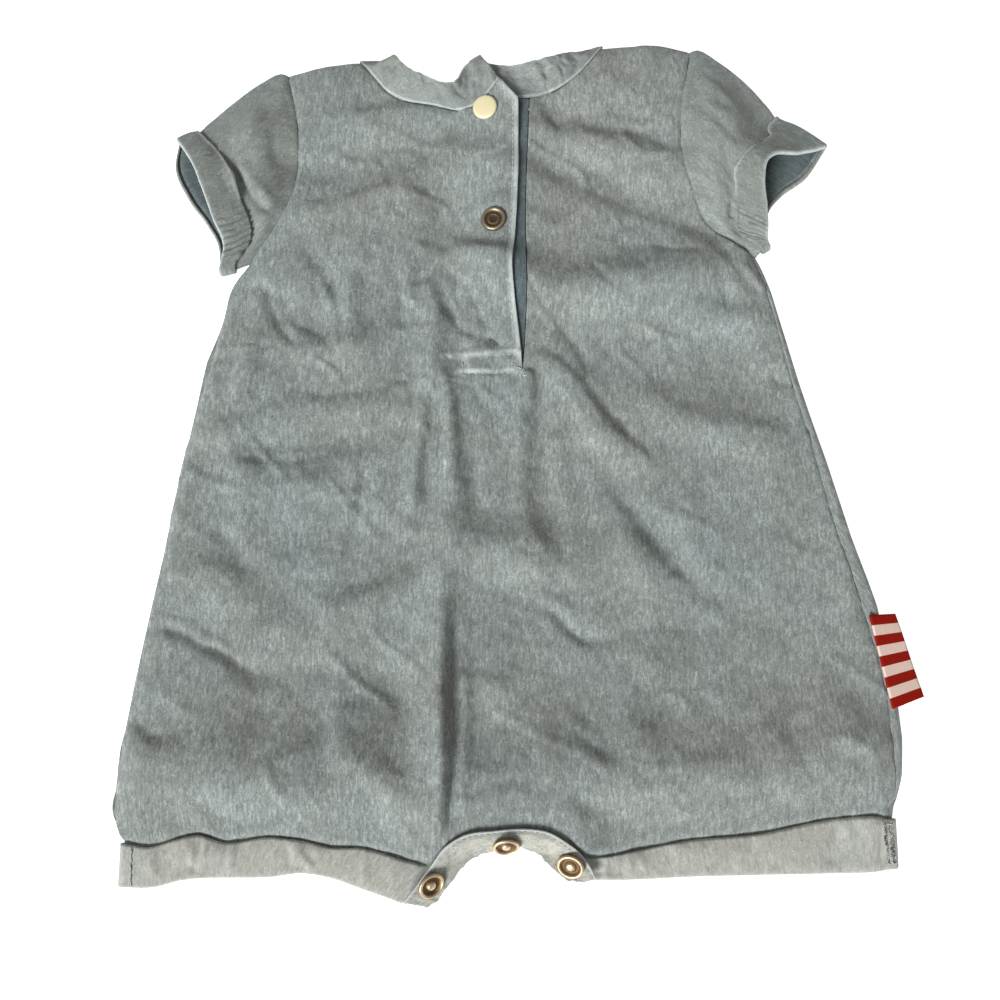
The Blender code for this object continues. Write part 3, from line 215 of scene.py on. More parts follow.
FOLDS = (  # height, width on a line's upper or right side, width on its other side, points
    # left chest
    (2.13, 3.5, 10.8, ((-98, 163), (-75, 167), (-55, 169), (-34, 167))),
    (-4.14, 9.1, 9.4, ((-106, 140), (-88, 139), (-70, 145), (-54, 150), (-40, 158), (-26, 162))),
    (1.46, 2.8, 11.8, ((-112, 118), (-91, 119), (-74, 125), (-60, 131), (-48, 141), (-38, 148))),
    (-2.8, 13.3, 5.5, ((-50, 139), (-42, 128), (-34, 116), (-38, 104))),
    (0.56, 2.2, 5.5, ((-112, 116), (-92, 117), (-76, 123), (-62, 128), (-54, 132))),
    (2.8, 10.3, 10.9, ((-30, 145), (-14, 142), (-4, 138))),
    (-0.34, 5.2, 4.8, ((-112, 112), (-108, 102), (-104, 92))),
    # right chest
    (-2.24, 6.0, 3.3, ((12, 176), (17, 167), (21, 160))),
    (-3.14, 11.0, 6.2, ((14, 168), (36, 163), (59, 160), (76, 152))),
    (2.58, 10.1, 13.1, ((10, 157), (30, 155), (50, 148), (66, 140), (78, 140))),
    (-4.48, 12.0, 6.4, ((6, 145), (20, 139), (39, 131), (57, 122), (77, 115), (92, 108))),
    (-0.67, 5.4, 5.4, ((30, 130), (24, 120))),
    # left waist
    (-1.46, 5.3, 3.8, ((-50, 100), (-49, 88), (-49, 78))),
    (-1.01, 2.2, 3.8, ((-56, 94), (-57, 78), (-58, 62))),
    (2.69, 10.4, 3.7, ((-76, 98), (-79, 85), (-81, 70), (-80, 55), (-81, 44))),
    (-2.35, 5.7, 3.7, ((-102, 100), (-94, 88), (-88, 76))),
    (-1.57, 10.4, 3.4, ((-116, 76), (-112, 66), (-105, 61), (-94, 55), (-88, 49))),
    (-1.57, 4.2, 9.1, ((-72, 90), (-73, 74), (-75, 58))),
    (0.9, 4.6, 3.3, ((-72, 100), (-80, 88), (-84, 74))),
    (1.46, 3.9, 4.4, ((-47, 100), (-52, 88), (-56, 77))),
    (1.46, 3.5, 7.7, ((-54, 76), (-48, 76), (-42, 79))),
    (-1.9, 4.9, 5.4, ((-128, 88), (-131, 70), (-135, 52), (-139, 38))),
    (2.69, 8.8, 6.1, ((-111, 50), (-98, 47), (-84, 47), (-66, 51))),
    (3.02, 7.2, 4.0, ((-128, 50), (-130, 36), (-133, 20))),
    (0.67, 2.5, 4.7, ((-76, 28), (-60, 29), (-46, 30))),
    # beside and under the placket
    (6.61, 6.6, 20.8, ((-36, 94), (-20, 94), (-4, 91))),
    (-4.37, 12.9, 5.7, ((-36, 94), (-28, 82), (-27, 71), (-19, 64), (-7, 55), (-1, 52))),
    (-1.01, 2.9, 2.7, ((-42, 92), (-39, 80), (-34, 68), (-28, 62))),
    (3.92, 5.9, 4.6, ((-42, 77), (-40, 60), (-41, 42), (-41, 25), (-43, 8), (-47, -12), (-52, -34))),
    (3.47, 7.3, 3.7, ((-33, 32), (-31, 15), (-31, 0), (-31, -16), (-37, -30))),
    (-1.46, 4.4, 4.8, ((-26, 28), (-24, 8), (-22, -12), (-19, -36))),
    (1.68, 3.4, 8.6, ((4, 34), (3, 10), (0, -12), (3, -34), (10, -50))),
    (-2.35, 3.9, 7.1, ((11, 34), (11, 5), (14, -20), (18, -50))),
    (5.94, 14.2, 10.8, ((-26, -44), (-10, -48), (8, -51), (19, -54))),
    (-1.79, 5.2, 3.4, ((-45, -32), (-38, -20), (-34, -30))),
    (-1.68, 2.8, 3.5, ((-41, 98), (-44, 88), (-48, 77))),
    (-2.02, 4.5, 3.1, ((-3, -2), (-5, -20))),
    # right waist
    (7.73, 12.3, 12.9, ((6, 81), (30, 75), (60, 82), (90, 88), (106, 86))),
    (-4.48, 11.9, 19.6, ((30, 54), (60, 51), (90, 44), (120, 36))),
    (2.58, 8.8, 8.5, ((58, 22), (80, 12), (101, 7), (125, -6))),
    (3.81, 6.7, 8.8, ((16, 46), (29, 27), (36, 10), (49, -1), (62, -7))),
    (-1.34, 3.8, 3.4, ((93, 103), (101, 93), (110, 80))),
    (0.78, 4.2, 2.3, ((57, 80), (57, 66), (57, 56))),
    (2.02, 6.8, 5.9, ((78, 68), (98, 62), (122, 64))),
    (-1.46, 5.3, 5.7, ((104, 34), (126, 31))),
    (1.46, 3.8, 5.9, ((106, 10), (132, 6))),
    (-1.79, 6.0, 5.3, ((128, 66), (134, 40), (142, 10), (150, -20))),
    (0.45, 2.4, 2.9, ((22, 38), (33, 24), (42, 12), (50, 2))),
    (-1.57, 5.5, 4.0, ((93, 90), (98, 78), (99, 66))),
    (2.02, 3.1, 3.9, ((105, 99), (112, 88), (117, 78))),
    (-0.56, 4.7, 5.2, ((110, 52), (124, 48))),
    # left hip
    (1.79, 5.4, 8.8, ((-146, 9), (-125, 12), (-105, 19), (-80, 22), (-58, 23))),
    (-2.24, 7.7, 4.2, ((-134, -3), (-114, 0), (-96, 1), (-76, 2), (-60, 1))),
    (-1.9, 4.3, 2.9, ((-71, -5), (-74, -30), (-80, -55))),
    (-2.02, 11.8, 7.1, ((-124, -44), (-100, -43), (-84, -40))),
    (1.68, 5.7, 13.4, ((-152, -54), (-140, -59), (-123, -67))),
    (0.78, 3.4, 2.2, ((-60, -43), (-50, -38), (-42, -42))),
    (3.36, 8.8, 6.7, ((-132, 2), (-129, -10), (-128, -22))),
    (1.9, 3.3, 5.6, ((-152, -14), (-158, -36), (-160, -56))),
    (0.9, 2.7, 4.4, ((-100, 13), (-84, 17), (-64, 19))),
    (-0.9, 4.0, 3.1, ((-90, 5), (-72, 9), (-50, 9))),
    (2.8, 6.3, 6.7, ((-112, -20), (-100, -19), (-88, -14))),
    (-2.35, 4.5, 6.9, ((-137, -41), (-129, -49), (-121, -58))),
    (2.58, 7.9, 6.4, ((-150, 4), (-142, 5), (-132, 6))),
    # right hip
    (-2.13, 6.3, 4.5, ((32, -2), (39, -11), (48, -25), (58, -39), (69, -51), (81, -66), (98, -73))),
    (3.92, 11.6, 9.6, ((44, -36), (52, -50), (58, -62))),
    (0.67, 3.3, 3.9, ((120, -41), (129, -49), (140, -52))),
    (-1.68, 10.8, 7.2, ((24, 0), (28, -14), (36, -30))),
    (1.57, 5.3, 7.2, ((78, -20), (78, -36), (80, -50))),
    (-0.45, 5.4, 4.4, ((113, -22), (124, -38), (134, -52))),
    # left leg
    (3.7, 6.2, 10.0, ((-90, -84), (-78, -74), (-62, -67), (-46, -60))),
    (-2.58, 6.4, 4.9, ((-162, -81), (-148, -83), (-136, -90), (-123, -102), (-110, -105))),
    (1.23, 7.8, 8.2, ((-122, -76), (-110, -85), (-98, -90), (-88, -97))),
    (-2.46, 9.6, 4.8, ((-172, -120), (-160, -129), (-150, -130))),
    (3.92, 13.1, 6.5, ((-81, -115), (-79, -129), (-75, -145))),
    (-2.58, 8.7, 7.6, ((-64, -102), (-55, -109), (-51, -122))),
    (-0.45, 4.0, 3.3, ((-150, -112), (-141, -119), (-128, -124))),
    (-0.78, 4.7, 4.9, ((-152, -70), (-140, -76), (-128, -84))),
    (-0.67, 3.7, 3.0, ((-106, -100), (-103, -112))),
    # between the legs
    (6.7, 11.1, 9.8,
     ((-32, -26), (-32, -50), (-33, -80), (-32, -105), (-37, -130), (-36, -150), (-37, -166))),
    (-2.8, 10.0, 5.0, ((-30, -52), (-27, -80), (-27, -105), (-23, -130), (-28, -150), (-30, -172))),
    (0.78, 8.2, 4.8, ((-19, -100), (2, -126))),
    (2.35, 10.1, 23.3, ((-16, -104), (-23, -125), (-24, -150), (-26, -168))),
    (2.58, 3.6, 2.9, ((-36, -100), (-35, -120), (-33, -140), (-34, -158))),
    (1.23, 4.6, 7.3, ((-24, -108), (-8, -107), (2, -105))),
    # right leg
    (-1.01, 3.5, 4.8, ((-18, -63), (0, -68), (12, -76), (24, -84), (38, -90))),
    (-1.46, 6.1, 3.1, ((13, -63), (24, -70))),
    (-1.57, 7.9, 3.4, ((24, -117), (32, -127), (40, -138))),
    (1.23, 5.3, 6.2, ((58, -96), (64, -108))),
    (0.56, 6.0, 2.2, ((80, -106), (88, -115), (92, -128))),
    (-1.23, 7.5, 5.1, ((119, -112), (122, -130))),
    (-0.9, 5.7, 3.4, ((26, -85), (40, -89), (62, -81), (80, -85), (100, -80), (118, -83))),
    (0.67, 5.2, 4.3, ((62, -112), (74, -104), (92, -100))),
    (-0.34, 3.7, 3.4, ((50, -100), (56, -110))),
    (-0.56, 5.9, 4.8, ((144, -104), (151, -118), (154, -128))),
    (1.23, 4.9, 6.3, ((146, -60), (151, -78), (157, -96))),
    # above the cuffs
    (5.49, 12.9, 6.9, ((-67, -143), (-56, -152), (-49, -165), (-42, -176))),
    (8.4, 23.7, 17.3, ((-176, -149), (-140, -146), (-100, -150), (-60, -154))),
    (8.4, 26.0, 15.5, ((-22, -153), (20, -149), (70, -148), (119, -143), (160, -138))),
    (-1.34, 6.6, 4.1, ((-112, -120), (-117, -135), (-124, -150))),
    (-1.23, 6.5, 4.4, ((-155, -159), (-149, -166), (-144, -170))),
    (-1.79, 4.6, 3.2, ((-54, -160), (-47, -167), (-42, -176))),
    (1.79, 4.7, 9.8, ((56, -124), (52, -140))),
    (1.46, 3.9, 7.4, ((68, -141), (80, -143), (92, -140))),
    (3.02, 10.2, 7.4, ((140, -132), (152, -131), (162, -131))),
    (1.23, 5.8, 3.7, ((9, -116), (10, -132), (9, -146))),
)
SHARP_CREASES = (  # height, width, points: thin set creases and the crisp edges of folds
    (1.56, 2.0, ((-46, 54), (-46.6, 48), (-45.7, 18), (-47.7, -8), (-49.2, -34))),
    (1.44, 2.0, ((-36, 40), (-33.7, 24), (-32.2, 10), (-34.3, -9))),
    (-1.56, 2.8, ((-40.5, 32), (-41, 22), (-42.4, 3), (-44.4, -25))),
    (-1.2, 2.2, ((-29, 30), (-28.4, 21), (-27.1, 3), (-26.5, -19))),
    (-1.08, 2.0, ((-133, -4.8), (-119, -6.2), (-104, -6.2), (-84.6, -2.9))),
    (0.84, 1.5, ((-146.4, 31), (-138, 19), (-122.7, 1.4), (-107.3, -16.5))),
    (0.84, 1.5, ((-92, -11), (-78.7, -27.4), (-64.6, -44))),
    (-0.96, 2.4, ((-98.7, 24.5), (-79, 26), (-60, 28.4))),
    (1.44, 2.0, ((-57, -42.2), (-51, -40.4), (-45.5, -40))),
    (-1.68, 2.4, ((-121.6, 80), (-118.8, 70.4), (-114, 59.4), (-103.8, 47.2))),
    (1.32, 2.0, ((-94, 82), (-87.5, 63), (-85, 45))),
    (-1.8, 2.2, ((-56.6, 84), (-55.5, 69.5), (-54.8, 57))),
    (1.56, 1.8, ((-52.6, 72.1), (-47.8, 69.1), (-43, 63.7))),
    (-1.68, 2.6, ((-38.8, 72), (-27, 57.8), (-13.7, 51), (-1.5, 47))),
    (1.8, 1.9, ((2.8, 37.8), (5.5, 31.5), (5, 19.5))),
    (-1.2, 2.8, ((3, 54), (20, 43.6), (35.7, 23.3), (49, 7.6), (68, -10))),
    (1.08, 2.0, ((102.3, 91.5), (110.2, 85), (118, 75))),
    (-0.96, 1.8, ((118.2, 34), (124.2, 31.6), (129.7, 29))),
    (1.08, 2.2, ((-165.5, -78.8), (-154.4, -80.6), (-143, -87), (-129.4, -92.4))),
    (-1.08, 2.2, ((-166.7, -82.4), (-155.4, -84.2), (-145, -90.5), (-131.4, -96), (-115.8, -106))),
    (-0.96, 2.6, ((-173.3, -123), (-165, -130.3), (-155.4, -133.8))),
    (1.8, 2.2, ((-35, -66), (-35.6, -97.5), (-35.2, -123.6), (-34.8, -149), (-34.6, -178))),
    (-3.6, 3.0, ((-29.8, -70), (-30.4, -110), (-29.8, -132.5), (-30.4, -152), (-31.3, -178))),
    (1.92, 2.2, ((-25, -98), (-24.2, -126.7), (-25.4, -145), (-26.5, -164))),
    (-1.2, 2.2, ((12.7, -71.3), (22.9, -85.6), (33, -91.4))),
    (-1.08, 2.2, ((22.4, -127.2), (32.5, -135), (40.3, -141))),
    (0.96, 1.8, ((-5.9, -127), (-10.8, -147), (-9, -164))),
    (1.2, 2.0, ((-111, -141), (-107, -152), (-99, -160))),
    (-0.9, 2.4, ((-146, -152), (-139, -160), (-131, -163))),
    (1.08, 2.0, ((60, -150), (66, -160), (76, -164))),
    (-0.8, 2.2, ((104, -150), (108, -158), (118, -160))),
    (0.96, 2.0, ((-96, 150), (-82, 143), (-66, 141))),
    (-0.8, 2.2, ((-72, 118), (-58, 124), (-49, 134))),
    (0.96, 2.0, ((40, 168), (54, 163), (70, 163))),
    (-0.7, 2.0, ((62, 100), (76, 96), (88, 97))),
)
PLACKET_SNAPS = ((-16.0, 169.2), (-11.9, 110.9))
PANEL_END = 2.2         # the panels stop this far above a cuff's lowest line
SEAM_DITCH = (0.55, 0.8)  # depth and width of the groove along a sewn seam
CRUMPLE = ((0.35, 19.0, 1), (0.25, 8.0, 2), (0.10, 4.2, 5))     # height, size, seed
SET_CREASES = (  # height, spacing, seed, sharpness: small ones all over, left by washing
    (0.85, 24.0, 60, 0.13), (-0.75, 29.0, 62, 0.12), (0.34, 12.0, 64, 0.20), (-0.30, 14.0, 66, 0.20),
)
ARCH_ENDS = ((-43.0, -29.0), (30.0, 17.0))      # x between which the crotch's arch rises


def smooth(start, end, value):
    """0 before start, 1 after end, and an S curve between them."""
    part = np.clip((value - start) / (end - start), 0, 1)
    return part * part * (3 - 2 * part)


def bell(distance, width):
    """1 at no distance, and falling off softly over about a width."""
    return np.exp(-(distance / width) ** 2)


def joined(*axes):
    """Points, or faces, from an array for each of their numbers."""
    return np.stack(np.broadcast_arrays(*axes), axis=-1)


def unit(way):
    """Directions made one long."""
    return way / np.linalg.norm(way, axis=-1, keepdims=True)


def left_of(way):
    """Plan directions turned a quarter to their left."""
    return joined(-way[..., 1], way[..., 0])


def passed_along(line):
    """How far each point of a line is along it."""
    return np.append(0, np.cumsum(np.linalg.norm(np.diff(line, axis=0), axis=1)))


def through(rows, station):
    """Smooth curves through a table's columns at the given stations. A repeated station is a corner."""
    rows = np.array(rows, float)
    station = np.asarray(station, float)
    corners = [i + 1 for i in range(len(rows) - 1) if rows[i, 0] == rows[i + 1, 0]]
    found = np.zeros(station.shape + (rows.shape[1] - 1,))
    for first, last in zip([0] + corners, corners + [len(rows)]):
        run = rows[first:last]
        inside = (station >= run[0, 0]) & (station <= run[-1, 0])
        if first == 0:
            inside |= station < run[0, 0]
        if last == len(rows):
            inside |= station > run[-1, 0]
        at = np.clip(station[inside], run[0, 0], run[-1, 0])
        cell = np.clip(np.searchsorted(run[:, 0], at, side="right") - 1, 0, len(run) - 2)
        slope = np.gradient(run[:, 1:], run[:, 0], axis=0)
        step = (run[cell + 1, 0] - run[cell, 0])[:, None]
        part = ((at - run[cell, 0]) / step[:, 0])[:, None]
        found[inside] = (
            (2 * part**3 - 3 * part**2 + 1) * run[cell, 1:]
            + (part**3 - 2 * part**2 + part) * step * slope[cell]
            + (3 * part**2 - 2 * part**3) * run[cell + 1, 1:]
            + (part**3 - part**2) * step * slope[cell + 1]
        )
    return found


def edge_of(rows):
    """A table's plan curve, as a function of its station."""
    return lambda station: through(rows, station)[..., :2]


def lifted(plan, z):
    """Points in plan with their heights."""
    return np.concatenate([plan, z[..., None]], axis=-1)


def coons(u, v, left, right, top, bottom):
    """Points inside four edges. u runs across and v down; each edge is a function of its own station."""
    one, zero = np.ones_like(u), np.zeros_like(u)
    across = (1 - u)[..., None] * left(v) + u[..., None] * right(v)
    down = (1 - v)[..., None] * top(u) + v[..., None] * bottom(u)
    corners = (
        ((1 - u) * (1 - v))[..., None] * top(zero)
        + (u * (1 - v))[..., None] * top(one)
        + ((1 - u) * v)[..., None] * bottom(zero)
        + (u * v)[..., None] * bottom(one)
    )
    return across + down - corners


def plan_of(rows):
    """A table's plan points."""
    return [row[1:3] for row in rows]


def nearest(x, y, line):
    """Distance to a line of points, the share of the line passed, and its side, from -1 to 1 on its left."""
    line = np.array(line, float)
    lengths = np.hypot(*(line[1:] - line[:-1]).T)
    best = np.full(np.shape(x), 1e9)
    share = np.zeros(np.shape(x))
    side = np.zeros(np.shape(x))
    passed = 0.0
    for start, end, length in zip(line[:-1], line[1:], lengths):
        if length == 0:
            continue
        way = (end - start) / length
        along = np.clip((x - start[0]) * way[0] + (y - start[1]) * way[1], 0, length)
        off_x = x - start[0] - along * way[0]
        off_y = y - start[1] - along * way[1]
        distance = np.hypot(off_x, off_y)
        closer = distance < best
        best = np.where(closer, distance, best)
        share = np.where(closer, (passed + along) / lengths.sum(), share)
        side = np.where(closer, (way[0] * off_y - way[1] * off_x) / (distance + 1e-6), side)
        passed += length
    return best, share, side


def crumple(x, y, size, seed):
    """Soft uneven noise between -1 and 1 whose features are about size across."""
    chance = np.random.default_rng(seed)
    grid = chance.uniform(-1, 1, (64, 64))
    gx, gy = x / size, y / size
    column, row = np.floor(gx).astype(int), np.floor(gy).astype(int)
    fx, fy = gx - column, gy - row
    fx, fy = fx * fx * (3 - 2 * fx), fy * fy * (3 - 2 * fy)
    a, b = grid[row % 64, column % 64], grid[row % 64, (column + 1) % 64]
    c, d = grid[(row + 1) % 64, column % 64], grid[(row + 1) % 64, (column + 1) % 64]
    return (a * (1 - fx) + b * fx) * (1 - fy) + (c * (1 - fx) + d * fx) * fy


def creases(x, y, size, seed, sharp=0.17):
    """Narrow crooked creases, 0 to 1 high, that wander about size apart and fade in and out."""
    turn = seed * 1.3
    along, across = x * math.cos(turn) + y * math.sin(turn), y * math.cos(turn) - x * math.sin(turn)
    strength = smooth(-0.3, 0.3, crumple(along, across, size * 1.6, seed + 1))
    return bell(crumple(along, across, size, seed), sharp) * strength


def creased(relief, table, x, y, fade_in, fade_out):
    """A relief with a table's creases added, each fading over the shares of its line beyond the two given."""
    for height, width, line in table:
        away, share, _ = nearest(x, y, line)
        ends = smooth(0, fade_in, share) * smooth(1, fade_out, share)
        relief = relief + height * bell(away, width) * ends
    return relief


def fold_heights(x, y):
    """The sum of the folds, which sink a little towards their ends."""
    total = np.zeros(np.shape(x))
    for height, far_width, near_width, line in FOLDS:
        distance, share, side = nearest(x, y, line)
        width = near_width + (far_width - near_width) * (side + 1) / 2
        total += height * bell(distance, width) * (1 - 0.6 * np.abs(2 * share - 1) ** 3)
    return total


def bend_y(x):
    """The line along the cuffs' free edges and the crotch tape's upper edge."""
    rows = sorted((row[1], row[2]) for row in HEM_LEFT + HEM_RIGHT[1:])
    xs, ys = zip(*rows)
    return np.interp(x, xs, ys)


def roll_flat_end(y):
    """Where the back panel leaves the table and starts to roll, and the roll's radius."""
    ys, xs, radii = zip(*reversed(ROLL))
    radius = np.interp(y, ys, radii)
    return np.interp(y, ys, xs) - 0.55 - radius, radius


def roll_turn(y):
    """The angle through which the roll climbs before it meets the front's edge, from straight down."""
    side = through(RIGHT_EDGE, np.linspace(UNDERARM, 1, 80))
    center, radius = roll_flat_end(y)
    seam = np.interp(y, side[::-1, 1], side[::-1, 0]) + 0.2
    return math.pi / 2 + np.arccos(np.clip((seam - center) / radius, 0, 1))


def slit_x(y):
    """The middle of the placket's slit."""
    ys = (37.0, 57.0, 75.0, 90.0, 105.0, 135.0, 173.0)
    xs = (1.8, 1.4, 0.7, 0.3, 0.9, 1.9, 2.8)
    return np.interp(y, ys, xs)


def back_z(x, y):
    """Middle of the back panel: flat on the table, and one layer up over the turned-up cuffs."""
    over_cuff = smooth(TAPE_X[0] + 6, TAPE_X[0], x) + smooth(TAPE_X[1] - 6, TAPE_X[1], x)
    return FLOOR_Z + TURN * over_cuff * smooth(4.5, 0.5, y - bend_y(x))


def drape_z(x, y):
    """The front panel's folds, kept clear of the back panel and of the placket's underlap."""
    over_lap = smooth(-32, -24, x) * smooth(8, 4, x) * smooth(16, 22, y)
    lowest = SIDE_Z + 0.4 + 1.2 * over_lap
    folds = fold_heights(x, y)
    for snap_x, snap_y in PLACKET_SNAPS:
        folds *= smooth(7, 17, np.hypot(x - snap_x, y - snap_y))
    return lowest + SETTLE * np.logaddexp(0, (PLATEAU_Z + folds - lowest) / SETTLE)


def in_arch(x):
    """1 under the crotch tape's arch, and 0 under the leg cuffs."""
    return smooth(*ARCH_ENDS[0], x) * smooth(*ARCH_ENDS[1], x)


def over_lift(x, y):
    """How far the left half stands up along the placket's slit."""
    from_slit = np.abs(x - slit_x(y))
    return OVER_LIFT * smooth(*SLIT_FOOT, y) * smooth(34, 6, from_slit)


def front_z(x, y):
    """Middle of the front panel."""
    z = drape_z(x, y)
    over = x < slit_x(y)
    under_lift = (OVER_LIFT - TAPE_RISE) * smooth(*SLIT_FOOT, y) * smooth(18, 0, x - slit_x(y))
    corner_lift = 1.4 * smooth(160, 176, y) * smooth(30, 8, np.abs(x - slit_x(y)))
    z += np.where(over, over_lift(x, y) + corner_lift, under_lift)
    radius = roll_flat_end(y)[1]
    roll_top = np.maximum(back_z(x, y) + radius - radius * np.cos(roll_turn(y)), SIDE_Z)
    for rows, level, reach in (     # the shoulders, the left side, and the right side over the roll
        (NECK_LEFT[:3], SIDE_Z, 6.0), (NECK_RIGHT[5:], SIDE_Z, 6.0),
        (LEFT_EDGE[6:16], SIDE_Z, 5.0), (RIGHT_EDGE[7:], roll_top, 7.0),
    ):
        away, _, _ = nearest(x, y, plan_of(rows))
        z = level + (z - level) * (1 - np.exp(-away / reach))
    above_bend = y - bend_y(x)
    hem_level = HEM_Z + ARCH_LIFT * in_arch(x) * smooth(-11, -1, above_bend)
    shoulder = smooth(-54, -30, x) * smooth(50, 18, x)
    lowest = HEM_Z + (ARCH_LIFT + 0.9 + 1.6 * smooth(0, 16, above_bend)) * shoulder
    near = smooth(0, 0.1, shoulder) * smooth(36, 14, above_bend)
    z = z + near * SETTLE * np.logaddexp(0, (lowest - z) / SETTLE)
    return hem_level + (z - hem_level) * smooth(-0.4, 2.4, above_bend)


SEAMS = (  # stations along a table: where the front is sewn to another piece
    (LEFT_EDGE, 0.0, UNDERARM), (LEFT_EDGE, UNDERARM, 0.99),
    (RIGHT_EDGE, 0.0, UNDERARM), (RIGHT_EDGE, UNDERARM, 0.99),
    (NECK_LEFT, 0.0, LEFT_NECK_POINT), (NECK_LEFT, LEFT_NECK_POINT, 1.0),
    (NECK_RIGHT, 0.0, RIGHT_NECK_POINT), (NECK_RIGHT, RIGHT_NECK_POINT, 1.0),
)


def seam_relief(x, y):
    """The groove along each seam, and the small puckers that its stitches draw beside it."""
    depth, width = SEAM_DITCH
    total = np.zeros(np.shape(x))
    for number, (table, start, end) in enumerate(SEAMS):
        line = through(table, np.linspace(start, end, 60))
        away, share, _ = nearest(x, y, line)
        length = np.hypot(*np.diff(line, axis=0).T).sum()
        groove = bell(away, width)
        beads = crumple(share * length, away * 0.4, 3.4, 20 + number) * np.exp(-away / 5.0)
        total += -depth * groove + 0.22 * beads * (1 - groove)
    return total


SLIT_LINE = plan_of(row for row in OVER_EDGE if row[0] <= SLIT_END)
STITCH_ROWS = (  # the rows that close the placket's foot, and its left end
    ((-35.0, 42.0), (-24.0, 43.2), (-12.0, 44.2), (-1.6, 44.8)),
    ((-26.5, 35.4), (-14.0, 35.6), (-1.4, 35.9)),
    ((-26.5, 43.4), (-26.5, 35.4)),
)


def sewn_relief(x, y):
    """The placket's turned edge and its topstitching, and the puckers of the stitched foot."""
    away, _, _ = nearest(x, y, SLIT_LINE)
    edge = (x < slit_x(y)) * smooth(38, 46, y)
    total = edge * (0.45 * bell(away - 0.8, 0.8) - 0.35 * bell(away - 2.5, 0.5))
    total += edge * 0.22 * crumple(y, away * 0.3, 2.6, 33) * bell(away - 2.5, 1.6)
    for number, row in enumerate(STITCH_ROWS[:2]):
        away, _, side = nearest(x, y, row)
        near = bell(away, 0.6)
        pucker = 0.7 * crumple(x, 0 * y, 2.1, 70 + number) * bell(away, 4.5)
        ridge = (1.0 - 0.4 * number) * bell(away - 1.6, 1.1) * (side > 0)
        total += -0.55 * near + pucker * (1 - near)
        total += ridge * (0.75 + 0.5 * crumple(x, 0 * y, 1.9, 74))
    return total


def surface_z(x, y):
    """The front panel with its folds, seam grooves and crumple."""
    far_from_hem = smooth(2.0, 12.0, y - bend_y(x))
    rumple = sum(height * crumple(x, y, *noise) for height, *noise in CRUMPLE)
    rumple += sum(height * creases(x, y, *noise) for height, *noise in SET_CREASES)
    rumple = creased(rumple, SHARP_CREASES, x, y, 0.15, 0.88)
    for snap_x, snap_y in PLACKET_SNAPS:
        rumple = rumple * smooth(5, 9, np.hypot(x - snap_x, y - snap_y))
    z = front_z(x, y) + rumple * far_from_hem
    return np.maximum(z, SIDE_Z + 0.1) + seam_relief(x, y) + sewn_relief(x, y)


def panel_point(u, station, left, right, top, hem, short=0.0):
    """Plan position in a panel: inside its outline above the bend, straight from bend to hem below."""
    above = coons(u, np.minimum(station, 1.0), left, right, edge_of(top), edge_of(hem))
    line = through(hem, u)
    bend, end = line[..., :2], line[..., 2:]
    way = end - bend
    end = end - unit(way) * (PANEL_END + short)
    below = np.clip(station - 1, 0, 1)[..., None]
    return np.where((station > 1)[..., None], bend + (end - bend) * below, above)


def spread(stops, step, length, edges=(0.35, 0.8, 1.4, 2.3)):
    """Stations from stop to stop, a step apart in mm along a length, with closer ones beside each stop."""
    found = []
    for start, end in zip(stops[:-1], stops[1:]):
        span = (end - start) * length
        inner = [e for e in edges if e < span / 2.5]
        last = inner[-1] if inner else 0.0
        count = max(1, round((span - 2 * last) / step))
        between = list(np.linspace(last, span - last, count + 1)[1:-1])
        run = [0.0] + inner + between + [span - e for e in inner[::-1]]
        found += [start + r / length for r in run]
    return np.array(found + [stops[-1]])


def lay_cloth(name, grids, finishes, wall=WALL, weld=True, worn=None):
    """A cloth piece from grids of points, each with its place in the weave in metres, with a wall.

    worn says for each grid's points how much paler its colour is made, from 0 to 1: where the edges' dye has
    rubbed off, and along some edges a painted highlight.
    """
    verts, faces, places = [], [], []
    first = 0
    for points, weave in grids:
        rows, columns = points.shape[:2]
        index = first + np.arange(rows * columns).reshape(rows, columns)
        quads = joined(index[:-1, :-1], index[1:, :-1], index[1:, 1:], index[:-1, 1:])
        verts.append(points.reshape(-1, 3) * MM)
        places.append(weave.reshape(-1, 2) * MM)
        faces.append(quads.reshape(-1, 4))
        first += rows * columns
    verts, places, faces = np.concatenate(verts), np.concatenate(places), np.concatenate(faces)
    data = bpy.data.meshes.new(name)
    data.from_pydata(verts.tolist(), [], faces.tolist())
    layer = data.uv_layers.new(name="weave")
    layer.data.foreach_set("uv", places[faces.ravel()].ravel())
    if worn:
        rub_and_highlight = data.attributes.new("worn", "FLOAT", "POINT")
        rub_and_highlight.data.foreach_set("value", np.concatenate([part.ravel() for part in worn]).astype(np.float32))
    if weld:
        work = bmesh.new()
        work.from_mesh(data)
        bmesh.ops.remove_doubles(work, verts=work.verts, dist=0.00002)
        bmesh.ops.recalc_face_normals(work, faces=work.faces)
        work.to_mesh(data)
        work.free()
    data.shade_smooth()
    for finish in finishes:
        data.materials.append(finish)
    piece = put(name, data)
    solid = piece.modifiers.new("wall", "SOLIDIFY")
    solid.thickness = wall * MM
    solid.offset = 0
    if len(finishes) > 1:
        solid.material_offset = 1
        solid.material_offset_rim = 0
    return piece


def flat_area(grids):
    """Area of a sheet's cut, in square metres, and its width and length."""
    total = 0.0
    lows, highs = [], []
    for _, weave in grids:
        a = weave[:-1, :-1] - weave[1:, 1:]
        b = weave[1:, :-1] - weave[:-1, 1:]
        total += np.abs(a[..., 0] * b[..., 1] - a[..., 1] * b[..., 0]).sum() / 2
        lows.append(weave.reshape(-1, 2).min(0))
        highs.append(weave.reshape(-1, 2).max(0))
    size = np.max(highs, axis=0) - np.min(lows, axis=0)
    return total * MM**2, size * MM


